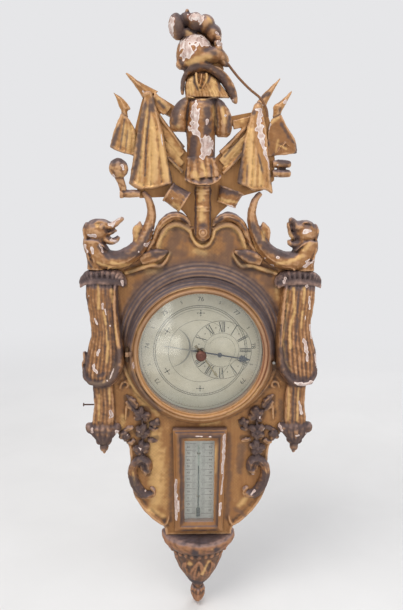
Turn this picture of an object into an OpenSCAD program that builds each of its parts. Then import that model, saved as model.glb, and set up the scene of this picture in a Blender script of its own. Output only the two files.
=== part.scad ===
// Carved giltwood wheel barometer with a boxed thermometer, hung on a wall by one nail.
// Millimetres. +X right, +Z up, the wall is the plane Y = 0 and the dial faces -Y.
// The origin is the centre of the nail hole in the iron hanging plate.
// Depth, in names and in profiles, is measured forward from the wall: a point at depth d has Y = -d.

/* [Dial] */
// Outer radius of the gilt bezel
bezel_r = 115; // [113:0.5:117]
// Width of the bezel ring, from the glass that shows to its outer edge
bezel_w = 12; // [11:0.5:14]
// Height of the bezel ring above the drum
bezel_h = 9.5; // [8:0.5:11]
// Height of the coved drum above the panel
drum_h = 20; // [17:0.5:24]
// Width of the coved drum outside the bezel
drum_skirt = 12; // [11:0.5:12]
// Thickness of the dial plate
dial_t = 2; // [1:0.5:3]
// Thickness of the bezel and thermometer glass
glass_t = 2; // [1.5:0.1:2.5]
// Drop from the nail hole to the centre of the dial
hang_to_dial = 330; // [326:1:336]

/* [Case] */
// Depth of the back case and its batten
case_t = 22; // [21:0.5:26]
// Thickness of the carved panel and the trophy board
panel_t = 16; // [12:0.5:20]
// Width of the back case
trunk_w = 96; // [90:1:104]
// Wall of the back case
trunk_wall = 8; // [7:0.5:10]
// Thickness of the rear door
door_t = 4; // [3:0.5:4.5]

/* [Thermometer] */
// Width of the thermometer box at its top
box_w = 93; // [88:1:98]
// Height of the thermometer box
box_l = 192; // [180:1:196]
// Height of the thermometer box above the panel
box_h = 19; // [18:0.5:22]
// Width of the rails of the thermometer box
rail_w = 20.5; // [16:0.5:22]
// Outer radius of the thermometer stem
stem_r = 1.8; // [1.4:0.1:2]

/* [Movement] */
// Radius at which the silk thread runs on the pulley
thread_path_r = 6; // [5:0.25:6.5]
// Radius of the silk thread
thread_r = 0.25; // [0.2:0.01:0.3]
// Radius of the hand arbor
arbor_r = 1.2; // [1:0.05:1.5]
// Outer radius of the siphon tube
tube_r = 3.5; // [3.2:0.1:3.8]
// Bore radius of the siphon tube
tube_bore_r = 2.3; // [2:0.05:2.5]
// Difference in level between the two mercury surfaces
mercury_head = 760; // [740:1:765]
// Length of the indicator hand from its hub to its tip
hand_l = 86; // [70:1:94]
// Length of the set hand
set_hand_l = 52; // [40:1:70]
// Radius of the set knob
knob_r = 9; // [7:0.5:11]

/* [Hanging plate] */
// Radius of the nail hole
nail_hole_r = 4.5; // [3:0.1:5.5]
// Thickness of the hanging plate
plate_t = 2.5; // [2:0.1:3]
// Radius of the wood screw shanks
screw_r = 1.6; // [1.2:0.1:1.8]

/* [Carving] */
// Mean width of the side drops
drop_w = 63; // [60:0.5:64]
// Height of the carving on the drops
drop_h = 29; // [24:0.5:32]
// Radius of the garland flowers
flower_r = 14.4; // [12:0.1:14.4]
// Radius of the mace head
mace_r = 16.5; // [14:0.5:16.5]
// Radius of the cannon barrel
barrel_r = 14.5; // [12:0.5:15]
// Half width of the pendant collar
pendant_r = 67; // [60:1:72]

/* [Hidden] */
// Clearances
run_gap = 0.05;
seat_gap = 0.3;
side_gap = 1.5;

// Depths of the main seats
face = case_t + panel_t;
drum_face = face + drum_h;
pole_h = 7;
over_poles = face + pole_h + seat_gap;

// Radii and heights of the main places
sight_r = bezel_r - bezel_w;
dial_z = -hang_to_dial;
drum_r = bezel_r + drum_skirt;
box_top = dial_z - drum_r - 10;
box_foot = box_top - box_l;
foot_z = box_foot - 13;
side_x = drum_r + side_gap + drop_w / 2;
roof_z = dial_z + 209;

// The arches of the panel and the horns on them span from the cannon to a place inside the drops
cannon_x = 1.5;
arch_in = cannon_x + barrel_r + 2;
arch_out = side_x - 86;
arch_l = 56;

function arch(x) = arch_in + (x - 18) * (arch_out - arch_in) / arch_l;

// Outer edge of the left inner banner, beside which the mace lies
banner_edge = -114.5;

// Bezel hinge
hinge_x = -(bezel_r + 7);
hinge_d = drum_face + 1.2;
knuckle_r = 3;
knuckle_l = 8;
hinge_pin_r = 1.2;
shelf_d = drum_face - 4;
shelf_r = bezel_r + 9.5;

// Bezel rebate and glass
rebate_r = sight_r + 3;
rebate_d = 3.5;
flange_h = 2.5;
spindle_r = 2;

// Catch and turn button, which share one kind of pivot screw
pivot_r = 1;
pivot_head_r = 2.4;
pivot_head_t = 0.8;
pivot_l = 8;
catch_x = bezel_r + 6.6;
catch_z = dial_z - 14;
catch_d = drum_face + flange_h + seat_gap;
catch_t = 1.2;
catch_boss_r = 2.4;
button_z = -390;
button_t = 1.4;
button_l = 14;
button_w = 6;
button_back = pivot_head_t + 0.1 + run_gap;

// Trunk
trunk_top = dial_z + 202;
trunk_foot = box_foot + 4;
trunk_half = trunk_w / 2;
bay_half = trunk_half - trunk_wall;
button_x = trunk_half - trunk_wall / 2;
bay_top = trunk_top - trunk_wall;
bay_foot = trunk_foot + trunk_wall;
batten_l = -24;
batten_r = 21;
batten_neck = 6;
batten_top = 184;
pin_r = 1;
pin_l = 12;
door_gap = 0.6;

// Siphon
bend_r = 10.5;
short_x = thread_path_r;
long_x = short_x - 2 * bend_r;
siphon_d = 11;
bend_z = bay_foot + bend_r + tube_r + 3;
tube_top = batten_top - 4;
short_top = bend_z + 110;
long_level = tube_top - 10;
float_level = long_level - mercury_head;
float_r = tube_bore_r - 0.4;
float_l = 14;
weight_r = 2.4;
weight_l = 16;
weight_top = dial_z - 46;
groove_half = tube_r + 1;
block_t = 8;
block_half = tube_r + 3.5;

// Movement
pulley_t = 4;
pulley_r = thread_path_r + 1;
cock_t = 1.5;
cock_back = door_t + 1.5;
cock_half = pulley_r + 2;
cock_reach = pulley_r + 12;
post_r = 2.2;
post_z = pulley_r + 8;
arbor_back = door_t + 0.8;
hand_d = face + dial_t + 4;
hand_t = 1.2;
hub_r = 5;
arbor_front = hand_d + hand_t + 1;
set_hand_d = hand_d + hand_t + 6;
knob_back = drum_face + rebate_d + seat_gap;
knob_l = 13;

// Plate
plate_w = 42;
plate_l = 44;
plate_x = -1;
pocket_r = 8;
pocket_d = 16;
screw_l = 12;
screw_head_r = 3;

// Thermometer
box_taper = 9;
glass_side = box_w / 2 - rail_w;
glass_lap = 2.6;
scale_t = 1.5;
bulb_r = 3.9;
stem_x = -1.5;
stem_d = face + scale_t + seat_gap + bulb_r;
glass_seat = stem_d + bulb_r + seat_gap + glass_t;
bulb_z = box_foot + rail_w + 14;
stem_top = box_top - rail_w - 10;

// Curves through chosen points, by the Catmull-Rom rule
function bend(a, b, c, d, t) = 0.5 * (2 * b + (c - a) * t + (2 * a - 5 * b + 4 * c - d) * t * t
    + (3 * b - a - 3 * c + d) * t * t * t);

function through(rows, s) =
    let (last = len(rows) - 1, i = min(floor(s), last - 1))
    bend(rows[max(i - 1, 0)], rows[i], rows[i + 1], rows[min(i + 2, last)], s - i);

function smooth(rows, steps) =
    [for (k = [0 : steps]) through(rows, (len(rows) - 1) * k / steps)];

// Turns rows of x, z, half width, height into rows of left x, left z, right x, right z, height
function band(rows) =
    [for (i = [0 : len(rows) - 1])
        let (a = rows[max(i - 1, 0)], b = rows[min(i + 1, len(rows) - 1)],
             run = [b[0] - a[0], b[1] - a[1]], side = [-run[1], run[0]] / norm(run), r = rows[i])
        [r[0] + side[0] * r[2], r[1] + side[1] * r[2],
         r[0] - side[0] * r[2], r[1] - side[1] * r[2], r[3]]];

// Rows that stand level, from low to high: z, left x, right x, height
function level(rows) = [for (r = rows) [r[1], r[0], r[2], r[0], r[3]]];

// One cross-section of a carving, from its left foot over the front to its right foot
function section(row, seat, sides, flutes, cut, edge, crown) =
    concat(
        [[row[0], -seat, row[1]]],
        [for (j = [0 : sides])
            let (u = flutes > 0 ? j / sides : (1 - cos(180 * j / sides)) / 2,
                 dome = pow(max(1 - pow(2 * u - 1, 2), 0), crown),
                 wave = 1 - cut * (0.5 + 0.5 * cos(360 * flutes * u)))
            [row[0] + (row[2] - row[0]) * u,
             -seat - row[4] * (edge + (1 - edge) * dome) * (flutes > 0 ? wave : 1),
             row[1] + (row[3] - row[1]) * u]],
        [[row[2], -seat, row[3]]]);

// A closed skin over cross-sections that follow one another upwards
module skin(rings) {
    n = len(rings[0]);
    m = len(rings);
    polyhedron(
        points = [for (r = rings) each r],
        faces = concat(
            [[for (j = [0 : n - 1]) j]],
            [[for (j = [n - 1 : -1 : 0]) (m - 1) * n + j]],
            [for (i = [0 : m - 2], j = [0 : n - 1])
                let (a = i * n + j, b = i * n + (j + 1) % n)
                each [[a, a + n, b + n], [a, b + n, b]]]));
}

// A carving with a flat back on the plane at depth seat
module carving(rows, seat, steps = 12, sides = 10, flutes = 0, cut = 0, edge = 0.12, crown = 0.5) {
    skin([for (r = smooth(rows, steps)) section(r, seat, sides, flutes, cut, edge, crown)]);
}

// A flat board between two depths
module board(outline, back, front) {
    translate([0, -back, 0])
        rotate([90, 0, 0])
            linear_extrude(front - back)
                polygon(outline);
}

// A turned form about a line that runs forward; profile points are radius, depth
module turned(profile, x = 0, z = 0) {
    translate([x, 0, z])
        rotate([90, 0, 0])
            rotate_extrude($fn = 96)
                polygon(profile);
}

// A round rod that runs forward from depth a to depth b
module rod_y(r, a, b, x = 0, z = 0) {
    translate([x, -a, z])
        rotate([90, 0, 0])
            cylinder(r = r, h = b - a, $fn = 48);
}

// A round rod that runs up
module rod_z(r, x, d, low, high) {
    translate([x, -d, low])
        cylinder(r = r, h = high - low, $fn = 48);
}

// A block given by its corners: x from left to right, depth from back to front, z from low to high
module block(left, right, back, front, low, high) {
    translate([left, -front, low])
        cube([right - left, front - back, high - low]);
}

// Mirrors the points of a right half into a whole outline
function both(points) = concat(points, [for (i = [len(points) - 1 : -1 : 0]) [-points[i][0],
    points[i][1]]]);

module mirrored() {
    mirror([1, 0, 0])
        children();
}

module back_case() {
    color("#8a6b48") {
        difference() {
            union() {
                block(-trunk_half, trunk_half, 0, case_t, trunk_foot, trunk_top);
                block(batten_l, batten_r, 0, case_t, trunk_top, plate_l / 2 + 12);
                block(batten_l, batten_neck, 0, case_t, plate_l / 2 + 12, batten_top);
            }
            block(-bay_half, bay_half, -1, case_t + 1, bay_foot, bay_top);
            door_pin_places() rod_z(pin_r + run_gap, 0, door_t / 2, -pin_l / 2, pin_l / 2);
            button_pocket();
            rod_y(pivot_r + run_gap, 0, pivot_l + 1, button_x, button_z);
            block(long_x - groove_half, long_x + groove_half, -1, siphon_d + groove_half, bay_top - 1,
                tube_top + 0.5);
            block(plate_x - plate_w / 2, plate_x + plate_w / 2, -1, plate_t, -plate_l / 2, plate_l / 2);
            rod_y(pocket_r, 0, pocket_d);
            screw_places() rod_y(screw_r + run_gap, 0, screw_l + 0.5);
        }
        block(bay_half - 3, bay_half, door_t + seat_gap, case_t, bay_foot, bay_top);
    }
}

// The round recess in which the turn button works, half in the case and half in the door
module button_pocket() {
    rod_y(button_l - button_w / 2 + 1.5, -1, button_back + button_t + 0.35, button_x, button_z);
}

module door_pin_places() {
    for (z = [bay_foot, bay_top])
        translate([-bay_half + door_gap + door_t / 2, 0, z])
            children();
}

module screw_places() {
    for (x = [-5, 16], z = [-16.5, 16.5])
        translate([x, 0, z])
            children();
}

// Right half of the panel, from the middle of its top edge down to its foot
function panel_half() =
    concat(
        smooth([[arch(18), roof_z], [arch(28), roof_z + 9], [arch(40), roof_z + 14],
            [arch(54), roof_z + 13], [arch(66), roof_z + 4], [arch(74), roof_z - 10],
            [side_x - 76, roof_z - 24], [side_x - 64, roof_z - 34], [side_x - 50, roof_z - 46],
            [side_x - 32, roof_z - 56], [side_x - 10, roof_z - 63], [side_x + 14, roof_z - 68],
            [side_x + 24, roof_z - 84]], 26),
        smooth([[side_x + 24, dial_z + 90], [side_x + 23, dial_z + 40], [side_x + 24, dial_z],
            [side_x + 30, dial_z - 24], [side_x + 30, dial_z - 40], [side_x + 18, dial_z - 56],
            [side_x + 13, dial_z - 72], [side_x + 13, dial_z - 122]], 14),
        smooth([[side_x - 12, dial_z - 126], [side_x - 19, dial_z - 150], [side_x - 35, dial_z - 168],
            [side_x - 39, dial_z - 195], [side_x - 39, dial_z - 226], [side_x - 45, dial_z - 256],
            [side_x - 58, dial_z - 282], [side_x - 78, dial_z - 306], [side_x - 97, dial_z - 326],
            [side_x - 101, foot_z]], 18));

module front_panel() {
    color("#b8893f")
        difference() {
            board(both(panel_half()), case_t, face);
            rod_y(arbor_r + 1.8, case_t - 1, face + 1, 0, dial_z);
        }
}

// The board behind the trophy: wings under the poles, and a spine behind the helmet and cuirass
module trophy_board() {
    color("#c39a52") {
        board([[arch(17.7), roof_z + 0.3], [arch(19), roof_z + 11], [30, -97], [48, -82], [62, -72],
            [98, -62], [116, -46], [116, -12], [110, 10], [108, 40], [98, 68], [84, 73], [84, 54],
            [20, -13], [19, -10], [19, 60], [21, 82], [27, 100], [32, 122], [22, 158], [2, 178],
            [-34, 180], [-38, 150], [-30, 122], [-25, 90], [-23, 60], [-23, -6], [-80, 66], [-78, 87],
            [-91, 85], [-96, 70], [-108, 24], [-110, -40], [-100, -76], [-62, -74], [-48, -82],
            [-30, -97], [-arch(19), roof_z + 11], [-arch(17.7), roof_z + 0.3]], case_t, face);
        board([[-23, 36], [-23, 54], [-79, 87], [-82, 66]], case_t, face);
        board([[19, 33], [19, 47], [84, 60], [84, 45]], case_t, face);
    }
}

module drum_moulding() {
    color("#6e5f5c")
        difference() {
            turned(concat([[sight_r + 1.5, face], [drum_r, face], [drum_r, face + 3],
                [drum_r - 1.5, face + 5]],
                [for (a = [10 : 20 : 90])
                    [shelf_r + (drum_r - shelf_r - 1) * (1 - sin(a)),
                     shelf_d - (shelf_d - face - 6) * cos(a)]],
                [[shelf_r, shelf_d], [bezel_r + 3.5, shelf_d], [bezel_r + 3.5, drum_face],
                [sight_r + 1.5, drum_face]]), z = dial_z);
            rod_y(pivot_r + run_gap, shelf_d - pivot_l, drum_face, catch_x, catch_z);
        }
}

module dial_plate() {
    color("#c9c6a8")
        difference() {
            rod_y(sight_r + 1.5 - seat_gap, face, face + dial_t, 0, dial_z);
            rod_y(arbor_r + 1.4, face - 1, face + dial_t + 1, 0, dial_z);
        }
}

module bezel_ring() {
    color("#b9823c")
        difference() {
            union() {
                turned([[rebate_r + run_gap, drum_face], [bezel_r, drum_face],
                    [bezel_r, drum_face + flange_h], [bezel_r - 3.8, drum_face + flange_h],
                    [bezel_r - 4.4, drum_face + bezel_h - 2.5], [bezel_r - 6, drum_face + bezel_h - 0.6],
                    [bezel_r - 7.5, drum_face + bezel_h], [bezel_r - 8.6, drum_face + bezel_h - 1.5],
                    [sight_r + 1.4, drum_face + bezel_h - 3], [sight_r, drum_face + rebate_d + 1],
                    [sight_r, drum_face + rebate_d], [rebate_r + run_gap, drum_face + rebate_d]],
                    z = dial_z);
                block(hinge_x, 2 - bezel_r, drum_face + seat_gap, drum_face + flange_h,
                    dial_z - knuckle_l / 2, dial_z + knuckle_l / 2);
                rod_z(knuckle_r, hinge_x, hinge_d, dial_z - knuckle_l / 2, dial_z + knuckle_l / 2);
            }
            rod_z(hinge_pin_r + run_gap, hinge_x, hinge_d, dial_z - knuckle_l, dial_z + knuckle_l);
        }
}

module bezel_glass() {
    color("#dfe8e4", 0.4)
        difference() {
            rod_y(rebate_r, drum_face + rebate_d - glass_t, drum_face + rebate_d, 0, dial_z);
            rod_y(spindle_r + run_gap, drum_face, drum_face + bezel_h, 0, dial_z);
        }
}

module bezel_hinge() {
    color("#a9813f") {
        difference() {
            for (s = [-1, 1])
                translate([0, 0, dial_z + s * (knuckle_l + 0.3)])
                    union() {
                        rod_z(knuckle_r, hinge_x, hinge_d, -knuckle_l / 2, knuckle_l / 2);
                        block(hinge_x - 1, hinge_x + 1, shelf_d, hinge_d - 1, -knuckle_l / 2,
                            knuckle_l / 2);
                    }
            rod_z(hinge_pin_r + run_gap, hinge_x, hinge_d, dial_z - 2 * knuckle_l,
                dial_z + 2 * knuckle_l);
        }
        rod_z(hinge_pin_r, hinge_x, hinge_d, dial_z - 1.5 * knuckle_l - 1, dial_z + 1.5 * knuckle_l + 1);
    }
}

module bezel_catch() {
    color("#a9813f")
        difference() {
            union() {
                rod_y(catch_boss_r, shelf_d + seat_gap, catch_d + catch_t, catch_x, catch_z);
                block(catch_x - 1.8, catch_x + 1.8, catch_d, catch_d + catch_t, catch_z - 10, catch_z);
            }
            rod_y(pivot_r + run_gap, shelf_d - 1, catch_d + catch_t + 1, catch_x, catch_z);
        }
}

// The head lies at depth 0, and the shank runs from it to depth -l
module pivot_screw(l) {
    rod_y(pivot_head_r, 0, pivot_head_t);
    rod_y(pivot_r, -l, 0);
}

module pivot_screws() {
    color("#8b8577") {
        translate([catch_x, -(catch_d + catch_t + run_gap), catch_z])
            pivot_screw(catch_d + catch_t + run_gap - shelf_d + pivot_l - 0.5);
        translate([button_x, -(pivot_head_t + 0.1), button_z])
            rotate([0, 0, 180])
                pivot_screw(pivot_l - pivot_head_t);
    }
}

module set_knob() {
    color("#4a2f24") {
        turned([[0, knob_back], [knob_r - 2, knob_back], [knob_r - 1.2, knob_back + 2],
            [knob_r - 3.5, knob_back + 4], [knob_r, knob_back + 8], [knob_r - 0.8, knob_back + 11],
            [knob_r - 4, knob_back + knob_l], [0, knob_back + knob_l]], z = dial_z);
        rod_y(spindle_r, set_hand_d - 1, knob_back, 0, dial_z);
    }
}

module set_hand() {
    color("#c8b070")
        translate([0, 0, dial_z])
            rotate([0, 55.5, 0])
                difference() {
                    union() {
                        rod_y(hub_r - 0.5, set_hand_d, set_hand_d + hand_t);
                        board([[3, -1.6], [set_hand_l - 12, -1.1], [set_hand_l - 8, -2.6],
                            [set_hand_l, 0], [set_hand_l - 8, 2.6], [set_hand_l - 12, 1.1], [3, 1.6]],
                            set_hand_d, set_hand_d + hand_t);
                        board([[-3, -1.6], [-3, 1.6], [-16, 2.6], [-16, -2.6]], set_hand_d,
                            set_hand_d + hand_t);
                    }
                    rod_y(spindle_r + run_gap, set_hand_d - 1, set_hand_d + hand_t + 1);
                }
}

// Outline of a crescent with its horns to the left, from its outer arc back along its inner arc
function crescent(r, t) =
    concat([for (a = [-78 : 6 : 78]) [r * cos(a), r * sin(a)]],
        [for (a = [72 : -6 : -72])
            let (inner = r - t * (1 - pow(a / 78, 2)))
            [inner * cos(a), inner * sin(a)]]);

module indicator_hand() {
    moon_r = 34;
    color("#2c3038")
        translate([0, 0, dial_z])
            rotate([0, 9.5, 0])
                difference() {
                    union() {
                        rod_y(hub_r, hand_d, hand_d + hand_t);
                        board([[3, -1.3], [hand_l - 20, -1], [hand_l - 17, -6], [hand_l, 0],
                            [hand_l - 17, 6], [hand_l - 20, 1], [3, 1.3]], hand_d, hand_d + hand_t);
                        rod_y(4, hand_d, hand_d + hand_t, 33, 0);
                        board([[-3, 1.3], [-3, -1.3], [-62, -0.8], [-62, 0.8]], hand_d, hand_d + hand_t);
                        board([for (p = crescent(moon_r, 3)) [p[0] - 17 - moon_r, p[1]]], hand_d,
                            hand_d + hand_t);
                    }
                    rod_y(arbor_r + run_gap, hand_d - 1, hand_d + hand_t + 1);
                }
}

module hand_arbor() {
    color("#7d7f82")
        rod_y(arbor_r, arbor_back, arbor_front, 0, dial_z);
}

module arbor_pulley() {
    mid = siphon_d;
    floor_r = thread_path_r - thread_r - run_gap;
    color("#a98a45")
        turned([[arbor_r + run_gap, mid - pulley_t / 2], [pulley_r, mid - pulley_t / 2],
            [pulley_r, mid - 1.1], [floor_r, mid - 0.4], [floor_r, mid + 0.4], [pulley_r, mid + 1.1],
            [pulley_r, mid + pulley_t / 2], [arbor_r + run_gap, mid + pulley_t / 2]], z = dial_z);
}

module arbor_bridge() {
    color("#a98a45")
        difference() {
            union() {
                for (back = [cock_back, case_t - cock_t])
                    block(-cock_half, cock_half, back, back + cock_t, dial_z - cock_reach,
                        dial_z + cock_reach);
                for (s = [-1, 1])
                    rod_y(post_r, cock_back, case_t, 0, dial_z + s * post_z);
            }
            rod_y(arbor_r + run_gap, 0, face, 0, dial_z);
        }
}

// A J-shaped rod of radius r: a long limb, a half turn at the foot and a short limb
module siphon(r, long_end, short_end) {
    rod_z(r, long_x, siphon_d, bend_z, long_end);
    rod_z(r, short_x, siphon_d, bend_z, short_end);
    translate([(long_x + short_x) / 2, -siphon_d, bend_z])
        rotate([90, 0, 0])
            rotate([0, 0, 180])
                rotate_extrude(angle = 180, $fn = 64)
                    translate([bend_r, 0])
                        circle(r = r, $fn = 32);
}

module siphon_tube() {
    color("#d7e2df", 0.5)
        difference() {
            siphon(tube_r, tube_top, short_top);
            siphon(tube_bore_r, tube_top - 3, short_top + 1);
        }
}

module mercury_column() {
    color("#b9bcc0")
        siphon(tube_bore_r - 0.05, long_level, float_level);
}

module glass_float() {
    color("#9fb4b0")
        rod_z(float_r, short_x, siphon_d, float_level, float_level + float_l);
}

module counterweight() {
    color("#a98a45")
        rod_z(weight_r, -thread_path_r, siphon_d, weight_top - weight_l, weight_top);
}

module silk_thread() {
    color("#d8cfae") {
        rod_z(thread_r, thread_path_r, siphon_d, float_level + float_l, dial_z);
        rod_z(thread_r, -thread_path_r, siphon_d, weight_top, dial_z);
        translate([0, -siphon_d, dial_z])
            rotate([90, 0, 0])
                rotate_extrude(angle = 180, $fn = 64)
                    translate([thread_path_r, 0])
                        circle(r = thread_r, $fn = 16);
    }
}

// Wooden saddles on the back of the panel, bored for the tube
module tube_blocks() {
    color("#8a6b48") {
        for (z = [bay_top - 24, dial_z - 104])
            difference() {
                block(long_x - block_half, long_x + block_half, siphon_d - tube_r - 2, case_t,
                    z - block_t / 2, z + block_t / 2);
                rod_z(tube_r + run_gap, long_x, siphon_d, z - block_t, z + block_t);
            }
        difference() {
            block(long_x - block_half, short_x + block_half, siphon_d - tube_r - 2, case_t, bend_z + 30,
                bend_z + 40);
            for (x = [long_x, short_x])
                rod_z(tube_r + run_gap, x, siphon_d, bend_z + 20, bend_z + 50);
        }
    }
}

// A frame cut from a tapered board, its outline drawn in by an inset
function box_outline(inset) =
    [[-box_w / 2 + inset, box_top - inset], [box_w / 2 - inset, box_top - inset],
        [(box_w - box_taper) / 2 - inset, box_foot + inset],
        [-(box_w - box_taper) / 2 + inset, box_foot + inset]];

module thermometer_box() {
    window_top = box_top - rail_w;
    window_foot = box_foot + rail_w - 1.5;
    color("#b8893f")
        difference() {
            union() {
                board(box_outline(0), face, face + box_h - 6);
                board(box_outline(4), face, face + box_h - 2);
                board(box_outline(8), face, face + box_h);
            }
            block(-glass_side, glass_side, face - 1, face + box_h + 1, window_foot, window_top);
            block(-glass_side - glass_lap, glass_side + glass_lap, face - 1, glass_seat,
                window_foot - glass_lap, window_top + glass_lap);
        }
}

// A plate that fills the rebate behind the thermometer window
module window_plate(back, front) {
    block(-glass_side - glass_lap + 0.2, glass_side + glass_lap - 0.2, back, front,
        box_foot + rail_w - 1.5 - glass_lap + 0.2, box_top - rail_w + glass_lap - 0.2);
}

module thermometer_glass() {
    color("#dfe8e4", 0.4)
        window_plate(glass_seat - glass_t, glass_seat);
}

module thermometer_scale() {
    color("#b9bfae")
        window_plate(face, face + scale_t);
}

module thermometer_tube() {
    color("#cdd6d2", 0.5)
        difference() {
            union() {
                rod_z(stem_r, stem_x, stem_d, bulb_z, stem_top);
                rod_z(bulb_r, stem_x, stem_d, bulb_z - 9, bulb_z + 7);
            }
            rod_z(stem_r - 0.9, stem_x, stem_d, bulb_z - 1, stem_top - 2);
            rod_z(bulb_r - 0.8, stem_x, stem_d, bulb_z - 8, bulb_z + 6);
        }
}

module thermometer_mercury() {
    color("#3a3d45") {
        rod_z(stem_r - 0.95, stem_x, stem_d, bulb_z + 6 - run_gap, stem_top - 40);
        rod_z(bulb_r - 0.85, stem_x, stem_d, bulb_z - 8 + run_gap, bulb_z + 6 - run_gap);
    }
}

// Wire staples that hold the stem on the scale plate
module thermometer_staples() {
    wire_r = 0.5;
    color("#a98a45")
        for (z = [bulb_z + 30, stem_top - 16])
            translate([stem_x, -stem_d, z])
                rotate([0, 0, 180])
                    union() {
                        rotate_extrude(angle = 180, $fn = 48)
                            translate([stem_r + wire_r + run_gap, 0])
                                circle(r = wire_r, $fn = 16);
                        for (s = [-1, 1])
                            translate([s * (stem_r + wire_r + run_gap), 0, 0])
                                rotate([90, 0, 0])
                                    cylinder(r = wire_r, h = stem_d - face - scale_t, $fn = 16);
                    }
}

module rear_door() {
    left = -bay_half + door_gap;
    low = bay_foot + 0.5;
    high = bay_top - 0.5;
    color("#7a5c3c")
        difference() {
            union() {
                rod_z(door_t / 2, left + door_t / 2, door_t / 2, low, high);
                block(left + door_t / 2, bay_half - 0.5, 0, door_t, low, high);
            }
            door_pin_places() rod_z(pin_r + run_gap, 0, door_t / 2, -pin_l, pin_l);
            button_pocket();
        }
}

module door_pins() {
    color("#8b8577")
        door_pin_places() rod_z(pin_r, 0, door_t / 2, -pin_l / 2, pin_l / 2);
}

module turn_button() {
    reach = button_l - button_w;
    color("#6b5036")
        translate([button_x, 0, button_z])
            difference() {
                union() {
                    block(-button_w / 2, button_w / 2, button_back, button_back + button_t, -reach, 0);
                    for (drop = [0, reach])
                        rod_y(button_w / 2, button_back, button_back + button_t, 0, -drop);
                }
                rod_y(pivot_r + run_gap, -1, button_back + button_t + 1);
            }
}

module hanging_plate() {
    color("#55504a")
        difference() {
            block(plate_x - plate_w / 2 + 0.1, plate_x + plate_w / 2 - 0.1, 0, plate_t,
                0.1 - plate_l / 2, plate_l / 2 - 0.1);
            rod_y(nail_hole_r, -1, plate_t + 1);
            screw_places() {
                rod_y(screw_r + run_gap, -1, plate_t + 1);
                turned([[0, 0], [screw_head_r + run_gap, 0],
                    [screw_r + run_gap, screw_head_r - screw_r], [0, screw_head_r - screw_r]]);
            }
        }
}

module wood_screws() {
    color("#6f6a62")
        screw_places()
            turned([[0, 0], [screw_head_r, 0], [screw_r, screw_head_r - screw_r], [screw_r, screw_l],
                [0, screw_l]]);
}

crown_r = 32;
crown_x = -11;
crown_z = 138;
crown_foot = crown_z - 20;

module helmet_shell() {
    color("#a9764a") {
        difference() {
            translate([crown_x, -face, crown_z])
                sphere(r = crown_r, $fn = 64);
            block(-60, 60, 0, face, 90, 190);
            block(-60, 60, 0, 90, 90, crown_foot);
        }
        carving(band([[50, 74, 4, 14], [42, 89, 5.5, 19], [33, 103, 6.5, 23], [20, 116, 6.5, 25],
            [4, 122, 6, 26], [-14, 121, 6, 26], [-28, 113, 5, 22], [-33, 100, 4, 18], [-32, 85, 3, 14]]),
            face, steps = 20, sides = 10);
    }
}

module helmet_plume() {
    color("#7b6450") {
        carving(band([[40, 127, 5, 10], [35, 141, 8, 20], [27, 158, 10, 26], [14, 176, 12, 30],
            [-5, 187, 14, 32], [-25, 190, 15, 34], [-40, 183, 14, 34], [-46, 170, 11, 28],
            [-45, 160, 6, 16]]), face, steps = 20, sides = 12);
    }
}

module helmet_lining() {
    color("#c9a05a")
        carving(level([[79, -27.5, 41, 16], [88, -27.8, 35, 17], [98, -28, 26.5, 17], [106, -23, 18, 16],
            [112, -12, 8, 14], [114, -6, 2, 12]]), face, steps = 8, sides = 36, flutes = 9, cut = 0.22,
            edge = 0.5);
}

// A round rod bent from the helmet brim to the top of the right inner banner
module curved_rod() {
    rod_r = 2;
    route = smooth([[37, 46, 129], [53, 50, 109], [71, 54, 91], [88, 57, 77], [97, 58, 62],
        [100, 54, 50]], 16);
    last = len(route) - 1;
    color("#7b6450")
        skin([for (i = [last : -1 : 0])
            let (a = route[max(i - 1, 0)], b = route[min(i + 1, last)], run = b - a,
                 side = [-run[2], 0, run[0]] / norm([run[0], run[2]]), p = route[i])
            [for (j = [0 : 7])
                [p[0] + side[0] * rod_r * cos(45 * j), -p[1] + rod_r * sin(45 * j),
                    p[2] + side[2] * rod_r * cos(45 * j)]]]);
}

module cuirass() {
    torso_l = -27;
    torso_r = 21;
    color("#8f6a43") {
        carving(level([[-14, torso_l + 2, torso_r - 1, 24], [10, torso_l + 2, torso_r - 1, 26],
            [30, torso_l, torso_r, 30], [50, torso_l, torso_r, 32], [68, torso_l + 1, torso_r - 1, 28],
            [75, torso_l + 3, torso_r - 2, 20]]), face, steps = 12, sides = 12);
        carving(level([[27, -43.5, -30, 12], [33, -49, torso_l - 0.5, 22],
            [46, -51.5, torso_l - 0.5, 28], [60, -47, torso_l - 0.5, 27], [70, -40, torso_l - 0.5, 21],
            [76, -35, -29, 12]]), face, steps = 10, sides = 12);
        carving(level([[20, 24, 39, 12], [28, torso_r + 0.5, 45, 22], [44, torso_r + 0.5, 45.5, 28],
            [58, torso_r + 0.5, 41, 27], [69, torso_r + 0.5, 34, 20], [75, 23, 28, 12]]), face,
            steps = 10, sides = 12);
        carving(level([[-53.5, -10, 15, 22], [-50, -22, 25, 26], [-45, -28.5, 29, 27],
            [-38, -27, 27, 27], [-28, -25.5, 22.5, 25], [-14.3, torso_l + 2, torso_r - 1, 23]]), face,
            steps = 8, sides = 40, flutes = 8, cut = 0.18, edge = 0.35);
    }
}

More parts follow.
